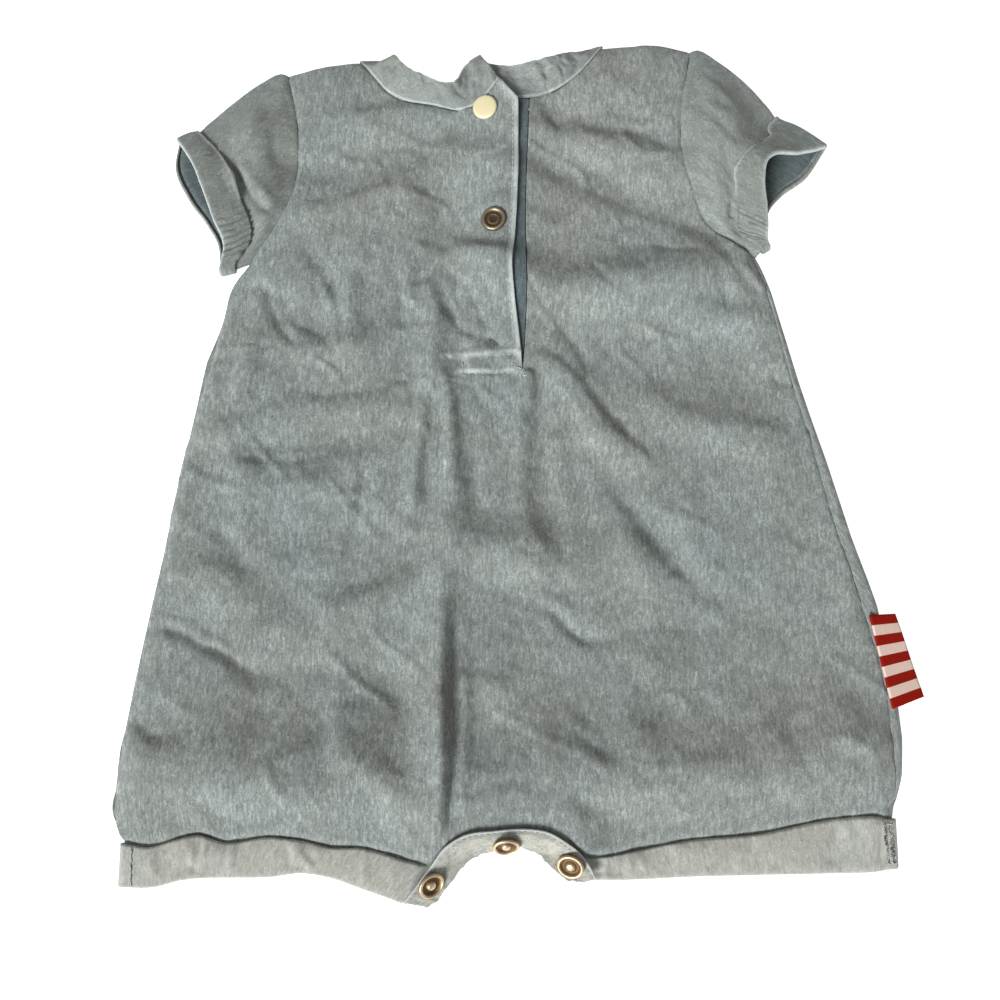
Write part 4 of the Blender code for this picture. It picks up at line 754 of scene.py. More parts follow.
def declare(piece, node, grids):
    """Ties a laid sheet to the root, hides the solid it replaces, and works out its cut's area and size on
    its weave, which nothing uses.
    """
    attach(piece, "root")
    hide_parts(node)
    area, size = flat_area(grids)


# Chambray denim: pale blue warp over white weft, softened by a stone wash, so
# the eye gets short broken hairs along the warp, a salt and pepper grain and
# cloudy patches, greyer where worn and bluer where the dye held. The yarns are
# 0.25 mm apart, too fine to show, and are drawn four times as coarse.
def denim(name, ground, blue="#f2f7fb", worn="#f8f5f1", grain_gain=1.0, hair_gain=1.0):
    material, tree, shader = new_finish(name)
    weave = add_node(tree, "ShaderNodeUVMap", {"uv_map": "weave"}).outputs["UV"]
    patterns = []
    for across, along, detail, rough, bent in (     # size in the weave, in millimetres
        (1.2, 5.2, 3.0, 0.65, 0.5),     # hairs: warp yarns that break through the wash
        (1.3, 2.0, 3.0, 0.7, 1.4),      # grain: the twill's salt and pepper
        (5.0, 7.0, 2.0, 0.6, 0.5),      # mottle: yarns worn together
        (26.0, 34.0, 4.0, 0.6, 0.0),    # clouds: stone wash
        (80.0, 95.0, 2.0, 0.55, 0.0),   # patches: where the dye held
        (5.0, 7.0, 2.0, 0.55, 0.4),     # slubs: thicker yarns, in relief only
    ):
        place = add_node(tree, "ShaderNodeMapping", i0=weave, i3=(1000 / across, 1000 / along, 1.0))
        patterns.append(add_node(
            tree, "ShaderNodeTexNoise", {"noise_dimensions": "2D"},
            Vector=place.outputs[0], Scale=1.0, Detail=detail, Roughness=rough, Distortion=bent,
        ).outputs[0])
    hairs, grain, mottle, clouds, patches, slubs = patterns

    def added(start, *parts):
        """Patterns added to a start, each about its middle and times its gain, kept from 0 to 1."""
        total = start - sum(gain for _, gain in parts) / 2
        for pattern, gain in parts:
            node = add_node(
                tree, "ShaderNodeMath", {"operation": "MULTIPLY_ADD"}, i0=pattern, i1=gain, i2=total,
            )
            total = node.outputs[0]
        node.use_clamp = True
        return total

    level = added(
        0.5, (hairs, 0.8 * grain_gain * hair_gain), (grain, grain_gain), (mottle, 0.3 * grain_gain),
        (clouds, 0.28),
    )
    colours = add_node(tree, "ShaderNodeValToRGB", i0=level)
    stops = colours.color_ramp.elements
    stops.new(0.5)
    for stop, colour in zip(stops, ground):
        stop.color = srgb(colour)
    held = added(0.35, (patches, 1.6), (clouds, 1.0))
    faded = add_node(tree, "ShaderNodeMath", {"operation": "SUBTRACT", "use_clamp": True}, i0=0.8, i1=held)
    dyed = {"data_type": "RGBA", "blend_type": "MULTIPLY"}
    tinted = add_node(tree, "ShaderNodeMix", dyed, i0=held, i6=colours.outputs[0], i7=srgb(blue))
    washed = add_node(tree, "ShaderNodeMix", dyed, i0=faded.outputs[0], i6=tinted.outputs[2], i7=srgb(worn))
    # The worn attribute pales the colour towards a light grey: dye rubbed off some edges, and painted
    # highlights along others.
    edge = add_node(tree, "ShaderNodeAttribute", {"attribute_name": "worn"}).outputs["Fac"]
    grain_patchy = add_node(
        tree, "ShaderNodeMath", {"operation": "MULTIPLY_ADD", "use_clamp": True}, i0=grain, i1=0.8, i2=0.45,
    )
    rub_and_highlight = add_node(tree, "ShaderNodeMath", {"operation": "MULTIPLY"}, i0=grain_patchy.outputs[0], i1=edge)
    rub_and_highlight_colour = add_node(
        tree, "ShaderNodeMix", {"data_type": "RGBA"},
        i0=rub_and_highlight.outputs[0], i6=washed.outputs[2], i7=srgb("#cfd4d3"),
    )
    height = added(0.5, (grain, 0.09), (hairs, 0.07), (slubs, 0.24))    # millimetres
    relief = add_node(tree, "ShaderNodeBump", Strength=1.0, Distance=MM, Height=height)
    fill(tree, shader, {
        "Base Color": rub_and_highlight_colour.outputs[2], "Roughness": 0.92, "Specular IOR Level": 0.18,
        "Sheen Weight": 0.15, "Sheen Roughness": 0.5, "Normal": relief.outputs[0],
    })
    return material


# The face, the paler wrong side where more weft shows, and a darker, bluer copy of the face:
# painted shade, for the placket's underlap and the sleeves' insides, which lie in shadow.
face = denim("chambray_denim", ("#5d6261", "#8b908d", "#c2c7c4"))
wrong = denim("chambray_denim_wrong_side", ("#8c8d88", "#b4b4ae", "#d6d6d0"), "#f6f9fa", "#f9f6f0")
shaded = denim("chambray_denim_painted_shade", ("#474f52", "#5f686b", "#838d90"), "#e6f0f6", "#eef0ee")

PANEL_LENGTH, HALF_WIDTH, PANEL_STEP = 372, 150, 1.75
panel_rows = np.concatenate([
    spread((0, UNDERARM, SLIT_END, 1), PANEL_STEP, PANEL_LENGTH)[:-1], np.linspace(1, 2, 8),
])
foot_rows = np.linspace(0.369, 0.392, 12)       # closer, at the placket's stitched foot
by_foot = np.abs(panel_rows - foot_rows.mean()) < 0.013
panel_rows = np.sort(np.append(panel_rows[~by_foot], foot_rows))


def front_grid(stops, left, right, top, hem):
    """Half of the front panel: its points, and their place in the weave."""
    u, v = np.meshgrid(spread(stops, PANEL_STEP, HALF_WIDTH), panel_rows)
    plan = panel_point(u.ravel(), v.ravel(), left, right, top, hem)
    points = lifted(plan, surface_z(*plan.T)).reshape(u.shape + (3,))
    return points, points[..., :2].copy()


def slit_wear(points):
    """How worn the placket's turned edge is."""
    x, y = points[..., 0], points[..., 1]
    away, _, _ = nearest(x, y, SLIT_LINE)
    worn = 0.9 * bell(away, 1.5) * smooth(38, 46, y) * smooth(184, 176, y)
    for row in STITCH_ROWS:
        away, _, side = nearest(x, y, row)
        patchy = 0.5 + 0.5 * crumple(x, 0 * y, 2.0, 75)
        worn = np.maximum(worn, patchy * bell(away - 1.3, 1.0) * (side > 0))
    return worn


slit_end = [row[0] for row in OVER_EDGE].index(SLIT_END) + 1
under_edge = UNDER_EDGE + OVER_EDGE[slit_end:]
front_grids = (
    front_grid((0, LEFT_NECK_POINT, 1), edge_of(LEFT_EDGE), edge_of(OVER_EDGE), NECK_LEFT, HEM_LEFT),
    front_grid((0, RIGHT_NECK_POINT, 1), edge_of(under_edge), edge_of(RIGHT_EDGE), NECK_RIGHT, HEM_RIGHT),
)
front = lay_cloth(
    "front_panel", front_grids, [face],
    worn=[slit_wear(front_grids[0][0]), np.zeros(front_grids[1][0].shape[:2])],
)
declare(front, "front", front_grids)

# Topstitching in a pale blue-grey cotton thread, about 0.45 mm thick: a row down
# the placket's turned edge and a box that closes its foot.
thread, tree, shader = new_finish("cotton_thread")
place = add_node(tree, "ShaderNodeTexCoord").outputs["Object"]
fibres = add_node(tree, "ShaderNodeTexNoise", Vector=place, Scale=2600.0).outputs[0]
shade = add_node(
    tree, "ShaderNodeMix", {"data_type": "RGBA"}, i0=fibres, i6=srgb("#9aa6a7"), i7=srgb("#c8d1d1"),
)
fill(tree, shader, {"Base Color": shade.outputs[2], "Roughness": 0.8, "Sheen Weight": 0.2})


def stitch_tree():
    """Geometry Nodes: a rounded stitch on every Spacing of each row, turned along it and a little uneven."""
    tree = bpy.data.node_groups.new("stitch_row", "GeometryNodeTree")
    tree.interface.new_socket("Rows", in_out="INPUT", socket_type="NodeSocketGeometry")
    for name in ("Spacing", "Length", "Thickness"):
        tree.interface.new_socket(name, in_out="INPUT", socket_type="NodeSocketFloat")
    tree.interface.new_socket("Seed", in_out="INPUT", socket_type="NodeSocketInt")
    tree.interface.new_socket("Thread", in_out="INPUT", socket_type="NodeSocketMaterial")
    tree.interface.new_socket("Stitches", in_out="OUTPUT", socket_type="NodeSocketGeometry")
    given = tree.nodes.new("NodeGroupInput").outputs
    line = add_node(tree, "GeometryNodeMeshToCurve", Mesh=given["Rows"]).outputs[0]
    stops = add_node(
        tree, "GeometryNodeResampleCurve", {"mode": "LENGTH"}, Curve=line, Length=given["Spacing"],
    ).outputs[0]
    way = tree.nodes.new("GeometryNodeInputTangent").outputs[0]
    turn = add_node(tree, "FunctionNodeAlignRotationToVector", {"axis": "X"}, Vector=way).outputs[0]
    stitch = add_node(
        tree, "GeometryNodeMeshUVSphere", {"name": "stitch"}, Segments=8, Rings=5, Radius=0.5,
    ).outputs[0]
    uneven = add_node(
        tree, "FunctionNodeRandomValue", {"data_type": "FLOAT"}, i2=0.8, i3=1.1, Seed=given["Seed"],
    ).outputs[1]
    thick = given["Thickness"]
    size = add_node(tree, "ShaderNodeCombineXYZ", i0=given["Length"], i1=thick, i2=thick).outputs[0]
    size = add_node(tree, "ShaderNodeVectorMath", {"operation": "SCALE"}, i0=size, Scale=uneven).outputs[0]
    placed = add_node(
        tree, "GeometryNodeInstanceOnPoints", Points=stops, Instance=stitch, Rotation=turn, Scale=size,
    ).outputs[0]
    real = add_node(tree, "GeometryNodeRealizeInstances", Geometry=placed).outputs[0]
    sewn = add_node(tree, "GeometryNodeSetMaterial", Geometry=real, Material=given["Thread"]).outputs[0]
    tree.links.new(sewn, tree.nodes.new("NodeGroupOutput").inputs[0])
    return tree


stitches = stitch_tree()


def sew(name, rows, spacing=2.9, length=2.5, thickness=0.5, yarn=thread):
    """Rows of stitches through points in millimetres, as one mesh."""
    verts, edges = [], []
    for row in rows:
        first = len(verts)
        verts += [tuple(np.array(point) * MM) for point in row]
        edges += [(first + i, first + i + 1) for i in range(len(row) - 1)]
    data = bpy.data.meshes.new(name + "_rows")
    data.from_pydata(verts, edges, [])
    guide = put(name + "_rows", data)
    nodes = guide.modifiers.new("stitches", "NODES")
    nodes.node_group = stitches
    values = {
        "Spacing": spacing * MM, "Length": length * MM, "Thickness": thickness * MM,
        "Seed": len(verts), "Thread": yarn,
    }
    for item in stitches.interface.items_tree:
        if item.name in values:
            nodes[item.identifier] = values[item.name]
    sewn = bpy.data.meshes.new_from_object(guide.evaluated_get(bpy.context.evaluated_depsgraph_get()))
    bpy.data.objects.remove(guide)
    sewn.shade_smooth()
    piece = put(name, sewn)
    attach(piece, "root")


def on_surface(level, line, step=1.0, lift=0.05):
    """A line of plan points laid on a surface's upper side."""
    line = np.array(line, float)
    passed = passed_along(line)
    at = np.arange(0, passed[-1] + step / 2, step)
    x, y = np.interp(at, passed, line[:, 0]), np.interp(at, passed, line[:, 1])
    return joined(x, y, level(x, y) + WALL / 2 + lift)


inside_edge = [(row[1] - 2.5, row[2]) for row in OVER_EDGE if 0.03 < row[0] <= 0.36]
rows = [on_surface(surface_z, [(-10.2, 181.0), (-2.9, 172.0)] + inside_edge)]
rows += [on_surface(surface_z, row) for row in STITCH_ROWS]
rows += [on_surface(surface_z, [(1.4 + 1.3 * (-1) ** i, 34.0 + 0.55 * i) for i in range(8)], 0.5)]
sew("placket_stitches", rows)

# ---------------------------------------------------------------------------
# Back panel.
# One piece of the same denim that lies flat under the front. At the viewer's
# right the garment is turned a little, so the back rolls up over its edge and
# meets the front at the side seam.
BACK_SLIP = ((92.0, 0.2), (58.0, 1.0), (42.0, 2.6), (22.0, 1.2), (0.0, 0.2))  # y, past the front
BACK_NECK = (  # station, x, y: left shoulder, neck seam, right shoulder
    (0.00, -114.3, 190.4), (0.10, -98.0, 194.8), (0.20, -79.5, 197.6),
    (0.20, -79.5, 197.6), (0.27, -69.0, 183.0), (0.36, -50.0, 173.5),
    (0.48, -18.0, 170.5), (0.60, 12.0, 175.5), (0.69, 31.5, 190.0),
    (0.77, 43.0, 206.0), (0.77, 43.0, 206.0), (0.88, 62.5, 207.0), (1.00, 85.8, 203.4),
)
BACK_NECK_POINTS = (0.20, 0.77)
HEM_MIDDLE = 0.43       # station where the back's left and right hem rows meet
SEAM_GAP = 0.15         # between two pieces' edges along a sewn seam


def back_hem():
    """The back's bend and hem rows from side to side, ending at the right side's roll."""
    rows = [(row[0] * HEM_MIDDLE,) + row[1:] for row in HEM_LEFT]
    rows += [(HEM_MIDDLE + row[0] * (1 - HEM_MIDDLE),) + row[1:] for row in HEM_RIGHT[1:-1]]
    bend_x, _ = roll_flat_end(-165.5)
    hem_x, _ = roll_flat_end(-187.5)
    return rows + [(1.0, bend_x, -165.5, hem_x, -187.5)]


def back_left(part):
    """The back's left edge, which slips out past the front's below the armhole."""
    edge = through(LEFT_EDGE, part)
    ys, slips = zip(*reversed(BACK_SLIP))
    edge[..., 0] -= np.interp(edge[..., 1], ys, slips) * smooth(UNDERARM, 0.30, part)
    return edge


def back_right(part):
    """The back's right edge, which ends where its roll starts below the armhole."""
    edge = through(RIGHT_EDGE, part)
    rolled = smooth(0.25, UNDERARM, part)
    edge[..., 0] += (roll_flat_end(edge[..., 1])[0] - edge[..., 0]) * rolled
    return edge


hem = back_hem()
BACK_STEP = 4.0
back_rows = np.concatenate([
    spread((0, UNDERARM, SLIT_END, 1), BACK_STEP, PANEL_LENGTH)[:-1], np.linspace(1, 2, 6),
])
u, v = np.meshgrid(spread((0, *BACK_NECK_POINTS, 1), BACK_STEP, 2 * HALF_WIDTH), back_rows)
plan = panel_point(u.ravel(), v.ravel(), back_left, back_right, BACK_NECK, hem, short=1.0)
z = back_z(plan[:, 0], plan[:, 1]) + 0.12 * crumple(plan[:, 0], plan[:, 1], 15.0, 9)
flat = lifted(plan, z).reshape(u.shape + (3,))

roll_rows = back_rows[np.searchsorted(back_rows, UNDERARM - 1e-6):]
u, v = np.meshgrid(np.linspace(0, 1, 17), roll_rows)
u, station = u.ravel(), v.ravel()
one = np.ones_like(u)
edge = panel_point(one, station, back_left, back_right, BACK_NECK, hem, short=1.0)
front_edge = panel_point(
    one, station, back_left, edge_of(RIGHT_EDGE), NECK_RIGHT, HEM_RIGHT, short=1.0,
)
radius = roll_flat_end(edge[:, 1])[1]
floor = back_z(edge[:, 0], edge[:, 1])
turn = np.minimum(u / 0.7, 1) * roll_turn(edge[:, 1])
run = np.clip((u - 0.7) / 0.3, 0, 1)
x = edge[:, 0] + radius * np.sin(turn)
x += np.minimum(front_edge[:, 0] + SEAM_GAP - x, 0) * run
y = edge[:, 1] + (front_edge[:, 1] - edge[:, 1]) * u
z = floor + radius - radius * np.cos(turn)
sunk = 0.5 * bell((1 - u) * 5, 0.8)     # the side seam's groove
roll = joined(x, y, z - sunk).reshape(v.shape + (3,))
arc = joined(edge[:, 0] + radius * turn + run * 4, y).reshape(v.shape + (2,))
back_grids = ((flat, flat[..., :2].copy()), (roll, arc))
back = lay_cloth("back_panel", back_grids, [face])
declare(back, "back", back_grids)

# ---------------------------------------------------------------------------
# Placket underlap.
# A strip of the same denim, sewn to the slit's right edge. It passes under the
# left half and carries the snaps' lower halves, so a band of it shows, drawn in
# the darker copy of the denim that is painted shade.
TOP, BOTTOM, INNER = 174.6, 26.0, -19.5
slit = through(UNDER_EDGE, np.linspace(SLIT_END, 0, 40))
u, v = np.meshgrid(spread((0, 1), 2.5, 24), spread((0, 1), 3.0, 149))
y = TOP + (BOTTOM - TOP) * v
seam = np.interp(y, slit[:, 1], slit[:, 0]) - 0.3
x = seam + (INNER - seam) * u
under = np.minimum(x, slit_x(y) - 0.1)
z = drape_z(under, y) + over_lift(under, y) - TAPE_RISE
strip = joined(x, y, z)[:, ::-1]
lap_grids = ((strip, strip[..., :2].copy()),)
underlap = lay_cloth("placket_underlap_strip", lap_grids, [shaded], weld=False)
declare(underlap, "placket_underlap", lap_grids)

# ---------------------------------------------------------------------------
# Sleeves and their cuffs.
# Short cap sleeves, set into the armholes and flattened by lying. Each mouth
# has a separate band sewn on and turned up over it, so the face side shows.
SLEEVE_TOP_LEFT = (  # station, x, y: the fold along the top, from shoulder to mouth
    (0.00, -115.1, 189.9), (0.06, -118.6, 191.1), (0.20, -127.8, 186.2),
    (0.43, -139.9, 176.4), (0.70, -152.2, 164.2), (0.83, -157.0, 158.0),
    (0.92, -162.0, 156.2), (1.00, -167.4, 153.2),
)
SLEEVE_TOP_RIGHT = (
    (0.00, 86.6, 202.6), (0.06, 90.2, 203.8), (0.20, 100.2, 197.4),
    (0.42, 113.8, 185.2), (0.62, 123.2, 173.0), (0.74, 127.6, 165.0),
    (0.88, 138.6, 159.0), (1.00, 151.2, 149.6),
)
UNDERARM_LEFT = ((0.0, -128.6, 92.8), (0.5, -136.0, 88.6), (1.0, -144.0, 86.0))
UNDERARM_RIGHT = ((0.0, 113.9, 95.0), (0.5, 117.2, 97.6), (1.0, 121.0, 99.6))
MOUTH_LEFT_FRONT = (  # share of the way from the top fold to the underarm, x, y, height
    (0.00, -167.4, 153.2, 5.0), (0.10, -162.5, 146.0, 9.0), (0.28, -156.0, 135.5, 11.0),
    (0.42, -152.6, 127.0, 11.0), (0.65, -146.2, 110.0, 9.5), (0.84, -141.6, 97.5, 7.0),
    (0.93, -143.0, 91.0, 5.5), (1.00, -144.0, 86.0, 4.0),
)
MOUTH_LEFT_BACK = (
    (0.00, -167.4, 153.2, 0.0), (0.20, -168.4, 139.0, 0.0), (0.42, -161.0, 123.5, 0.0),
    (0.65, -151.4, 110.5, 0.0), (0.80, -146.0, 101.0, 0.0), (1.00, -144.0, 86.0, 0.0),
)
MOUTH_RIGHT_FRONT = (
    (0.00, 151.2, 149.6, 5.0), (0.12, 136.4, 143.8, 10.0), (0.25, 122.3, 139.6, 15.5),
    (0.31, 118.4, 135.6, 16.5), (0.38, 117.4, 128.7, 15.5), (0.52, 118.6, 117.6, 12.5),
    (0.62, 119.2, 111.0, 10.5), (0.80, 119.6, 103.5, 8.0), (0.92, 120.4, 101.0, 5.5),
    (1.00, 121.0, 99.6, 4.0),
)
MOUTH_RIGHT_BACK = (
    (0.00, 151.2, 149.6, 0.0), (0.20, 141.5, 135.0, 0.0), (0.42, 129.0, 125.6, 0.0),
    (0.60, 122.5, 118.2, 0.0), (0.80, 120.8, 108.0, 0.0), (1.00, 121.0, 99.6, 0.0),
)
SLEEVE_CUFF = {         # width of the turned-up band, by its share of the way round
    "left": ((0.0, 11.5), (0.2, 14.0), (0.4, 16.0), (0.7, 16.5), (1.0, 13.0)),
    "right": (
        (0.0, 24.0), (0.06, 20.0), (0.12, 11.5), (0.22, 6.0), (0.31, 7.0), (0.42, 13.0), (0.6, 15.5),
        (1.0, 13.0),
    ),
}
PUFF = 4.0              # the crown above a straight run from armhole to mouth
FOLD_RADIUS = 1.0       # of the folded edges, at the mouth and at the armhole
SEAM_RADIUS = 0.85
FOLD_WIDTH = (90.0, 66.0)   # a sleeve laid flat, from its armhole to its mouth
LIP = 0.4               # share of a turned-up band's rows that goes round its fold
SLEEVE_CREASES = (      # height, width, points
    (-2.2, 2.0, ((-138.3, 138.0), (-131.8, 127.7), (-125.5, 119.5), (-118.0, 112.5))),
    (1.4, 2.2, ((-136.0, 141.0), (-129.0, 131.0), (-122.5, 123.0), (-116.5, 117.5))),
    (0.9, 2.2, ((-124.0, 168.0), (-128.0, 158.0), (-133.0, 150.0))),
    (-1.0, 2.4, ((-120.0, 160.0), (-119.0, 148.0), (-116.0, 136.0))),
    (0.8, 2.0, ((90.0, 188.0), (99.0, 178.0), (106.0, 168.0))),
    (-0.8, 2.2, ((88.0, 170.0), (98.0, 157.0), (107.0, 146.0))),
    (-1.6, 1.4, ((102.2, 120.5), (102.6, 112.0))),
    (0.8, 1.8, ((86.0, 126.0), (93.0, 116.0), (101.0, 108.0))),
)
SLEEVE_PLEATS = (  # share round the front, start and end along the sleeve, depth, width as a share
    ("left", 0.24, 0.10, 0.80, 0.7, 0.035), ("left", 0.42, 0.05, 0.60, -0.6, 0.04),
    ("left", 0.60, 0.10, 0.75, 0.6, 0.04), ("right", 0.16, 0.02, 0.75, 0.9, 0.035),
    ("right", 0.28, 0.02, 0.70, -0.8, 0.035), ("right", 0.42, 0.04, 0.60, 0.7, 0.045),
    ("right", 0.60, 0.06, 0.70, -0.6, 0.05),
)


def armhole(edge, share, outward):
    """The sleeve's side of an armhole's seam."""
    step = 0.002
    station = UNDERARM * share
    end = np.clip(station, step, UNDERARM - step / 10)
    way = unit(through(edge, end) - through(edge, end - step))
    return through(edge, station) + left_of(way) * outward * SEAM_GAP


def sleeve(side, edge, top, under, mouth_front, mouth_back, outward):
    """A sleeve's middle surface and its length. Around is 0 at the top fold, 1 at the underarm."""
    top_run = passed_along(through(top, np.linspace(0, 1, 40)))[-1]
    under_run = np.hypot(under[-1][1] - under[0][1], under[-1][2] - under[0][2])

    def seam_line(share):
        return armhole(edge, share, outward)

    def length(share):
        run = edge_of(mouth_front)(share) - seam_line(share)
        return np.maximum(np.linalg.norm(run, axis=-1), top_run * (1 - share) ** 2 + under_run * share)

    def cuff_start(share):
        wide = np.interp(share, *zip(*SLEEVE_CUFF[side]))
        return np.maximum(1 - wide / length(share), 0.06 + 0.49 * smooth(0.7, 1, share))

    def surface(around, v):
        front = around <= 1
        share = np.where(front, around, 2 - around)

        xy = np.where(front[..., None], *(
            coons(v, share, seam_line, edge_of(mouth), edge_of(top), edge_of(under))
            for mouth in (mouth_front, mouth_back)
        ))
        x, y = xy[..., 0], xy[..., 1]
        start = cuff_start(share)
        ramp = np.minimum(12 / length(share), start - 0.02)
        floor = FLOOR_Z + TURN * smooth(start - 0.02 - ramp, start - 0.02, v)
        radius = SEAM_RADIUS + (FOLD_RADIUS - SEAM_RADIUS) * smooth(0, 0.2, v)
        width = FOLD_WIDTH[0] + (FOLD_WIDTH[1] - FOLD_WIDTH[0]) * v
        from_fold = np.minimum(share, 1 - share) * width
        rounded = np.sqrt(1 - (1 - np.clip(from_fold / radius, 0, 1)) ** 2)
        seam = seam_line(share)
        crown = front_z(seam[..., 0], seam[..., 1])
        lip = through(mouth_front, share)[..., 2]
        free = np.clip(v / start, 0, 1)
        puff = PUFF * np.sin(math.pi * free) ** 2 * np.sin(math.pi * share) ** 0.8
        for where, place, begin, end, depth, wide in SLEEVE_PLEATS:
            if where == side:
                run = smooth(begin, begin + 0.15, v) * smooth(end, end - 0.3, v)
                puff = puff + depth * run * bell(share - place, wide)
        rise = np.maximum(crown + (lip - crown) * v + puff - floor - 2 * radius, 0)
        for inside in (share, 1 - share):
            rise = rise * np.sin(math.pi / 2 * np.clip(inside / 0.3, 0, 1)) ** 0.75
        from_seam = v * length(share)
        relief = 0.45 * crumple(x, y, 11.0, 11) + 0.16 * crumple(x, y, 4.0, 12)
        relief = relief + 0.7 * creases(x, y, 17.0, 13) - 0.6 * creases(x, y, 21.0, 15)
        relief = creased(relief, SLEEVE_CREASES, x, y, 0.2, 0.8)
        relief = relief * smooth(0, 4, from_seam) * smooth(0, 6, from_fold)
        relief = relief - 0.5 * bell(from_seam, 0.8)
        middle = floor + radius
        z = np.where(front, middle + radius * rounded + rise + relief, middle - radius * rounded)
        return lifted(xy, z)

    return surface, cuff_start, length


def outward_normals(surface, around, v):
    """Unit normals of a tube, pointing out of it."""
    step = 0.003
    across = surface((around + step) % 2, v) - surface((around - step) % 2, v)
    down = surface(around, np.minimum(v + step, 1)) - surface(around, np.maximum(v - step, 0))
    return unit(np.cross(down, across))


def turned_up(part, length):
    """A turned-up band's section: distance from its lowest line, and rise from the panel it covers."""
    radius = TURN / 2
    angle = np.minimum(part / LIP, 1) * math.pi
    run = np.clip((part - LIP) / (1 - LIP), 0, 1)
    start = radius + WALL / 2
    back = start - radius * np.sin(angle) + run * (length - start)
    return back, radius - radius * np.cos(angle), run


# The sleeves lie across the warp and have been handled more, so their hairs show less.
sleeve_face = denim("chambray_denim_sleeve", ("#5e6361", "#898e8a", "#bcc1bd"), hair_gain=0.3)
cuff_face = denim("chambray_denim_cuff", ("#5a5f5d", "#828783", "#b5bab6"), hair_gain=0.3)
half_round = np.concatenate([       # closer at the folded edges
    (0, 0.002, 0.005, 0.010, 0.017, 0.03, 0.05), np.linspace(0.075, 0.925, 69),
    (0.95, 0.97, 0.983, 0.990, 0.995, 0.998, 1),
])
around = np.concatenate([half_round, 2 - half_round[-2::-1]])
SLEEVES = (
    ("left", LEFT_EDGE, SLEEVE_TOP_LEFT, UNDERARM_LEFT, MOUTH_LEFT_FRONT, MOUTH_LEFT_BACK, -1),
    ("right", RIGHT_EDGE, SLEEVE_TOP_RIGHT, UNDERARM_RIGHT, MOUTH_RIGHT_FRONT, MOUTH_RIGHT_BACK, 1),
)
for side, *tables, outward in SLEEVES:
    surface, cuff_start, length = sleeve(side, *tables, outward)
    width = sum(FOLD_WIDTH) / 2
    a, v = np.meshgrid(around, np.concatenate([[0, 0.01, 0.022, 0.04], np.linspace(0.07, 1, 24)]))
    share = np.minimum(a, 2 - a)
    points = surface(a % 2, v * (1 - PANEL_END / length(share)))
    weave = joined(a * width, v * length(share))
    grids = ((points[:, :: -outward], weave[:, :: -outward]),)
    # Inside, the tube takes the darker copy of the denim, painted shade for its hollow.
    tube = lay_cloth("sleeve_panel_" + side, grids, [sleeve_face, shaded])
    declare(tube, "sleeve_" + side, grids)

    a, v = np.meshgrid(around, np.concatenate([np.linspace(0, LIP, 9)[:-1], np.linspace(LIP, 1, 17)]))
    share = np.minimum(a, 2 - a)
    wide = np.interp(share, *zip(*SLEEVE_CUFF[side]))
    back_way, rise, run = turned_up(v, wide)
    station = np.maximum(1 - back_way / length(share), cuff_start(share))
    normal = outward_normals(surface, a % 2, station) * -outward
    shown = a < 1
    flare = -0.75 * smooth(0.55, 1, run) * shown
    if side == "left":      # the free edge stands off the sleeve, and gathers bunch up by the underarm
        flare += 2.2 * smooth(0.6, 1, run) * bell(a - 0.45, 0.10) * shown
        gathered = smooth(0.62, 0.75, a) * smooth(1.0, 0.93, a) * shown
    else:
        gathered = smooth(0.62, 0.75, a) * smooth(0.95, 0.85, a) * shown * 0.5
    flare += 1.1 * gathered * np.sin(a * 150 + 2.0 * crumple(a * 40, v * 3, 5.0, 17)) * smooth(0.1, 0.4, v)
    end_seam = bell((a - 0.22) * FOLD_WIDTH[1], 0.7) * shown * (side == "left")  # closes the band
    flare -= 0.5 * end_seam * smooth(0.1, 0.4, v)
    flare += 0.30 * crumple(a * FOLD_WIDTH[1], v * 15, 5.0, 18) * run * shown
    points = surface(a % 2, station) + normal * (rise + flare)[..., None]
    points[..., 2] = np.maximum(points[..., 2], FLOOR_Z)
    weave = joined(a * FOLD_WIDTH[1], v * (wide + 3))
    grids = ((points[:, :: -outward], weave[:, :: -outward]),)
    # Paler lines: dye rubbed off along the fold at the mouth, and a painted highlight along part of the
    # band's free edge.
    rub_and_highlight_edge = bell(v - 0.24, 0.10) + 0.8 * bell(1 - v, 0.05) * (share < 0.6)
    rub_and_highlight_edge = 0.75 * np.clip(rub_and_highlight_edge, 0, 1)
    band = lay_cloth("sleeve_cuff_band_" + side, grids, [cuff_face], worn=[rub_and_highlight_edge[:, :: -outward]])
    declare(band, "sleeve_cuff_" + side, grids)

# ---------------------------------------------------------------------------
# Collar.
# A stand band of denim sewn to the neck edges, soft and crinkled from washing.
# Lying down it is folded flat at both shoulders: front left, back, front right,
# and its end that passes under the left end.
COLLAR_LEFT = (  # neck station, then x, y and height of the band's top edge, and its swell
    (0.31, -63.5, 198.0, 2.0, 0.0), (0.35, -62.6, 197.4, 6.0, 0.3), (0.39, -61.4, 196.6, 9.0, 0.8),
    (0.47, -57.6, 191.4, 12.0, 1.2), (0.54, -53.4, 185.8, 14.5, 1.5), (0.62, -46.6, 182.0, 15.5, 1.5),
    (0.70, -38.0, 178.6, 15.0, 1.2), (0.80, -30.2, 180.6, 13.0, 0.5), (0.87, -27.0, 188.0, 11.5, 0.0),
    (1.00, -18.9, 196.0, 10.5, 0.0),
)
COLLAR_BACK = (
    (0.20, -63.5, 197.4, 0.55, 0.0), (0.27, -56.0, 189.0, 0.55, 0.0), (0.33, -47.0, 185.6, 0.55, 0.0),
    (0.42, -32.0, 184.4, 0.55, 0.0), (0.52, -6.0, 185.8, 0.55, 0.0), (0.60, 7.0, 188.0, 0.55, 0.0),
    (0.69, 20.5, 195.0, 0.55, 0.0), (0.77, 29.0, 201.5, 0.55, 0.0),
)
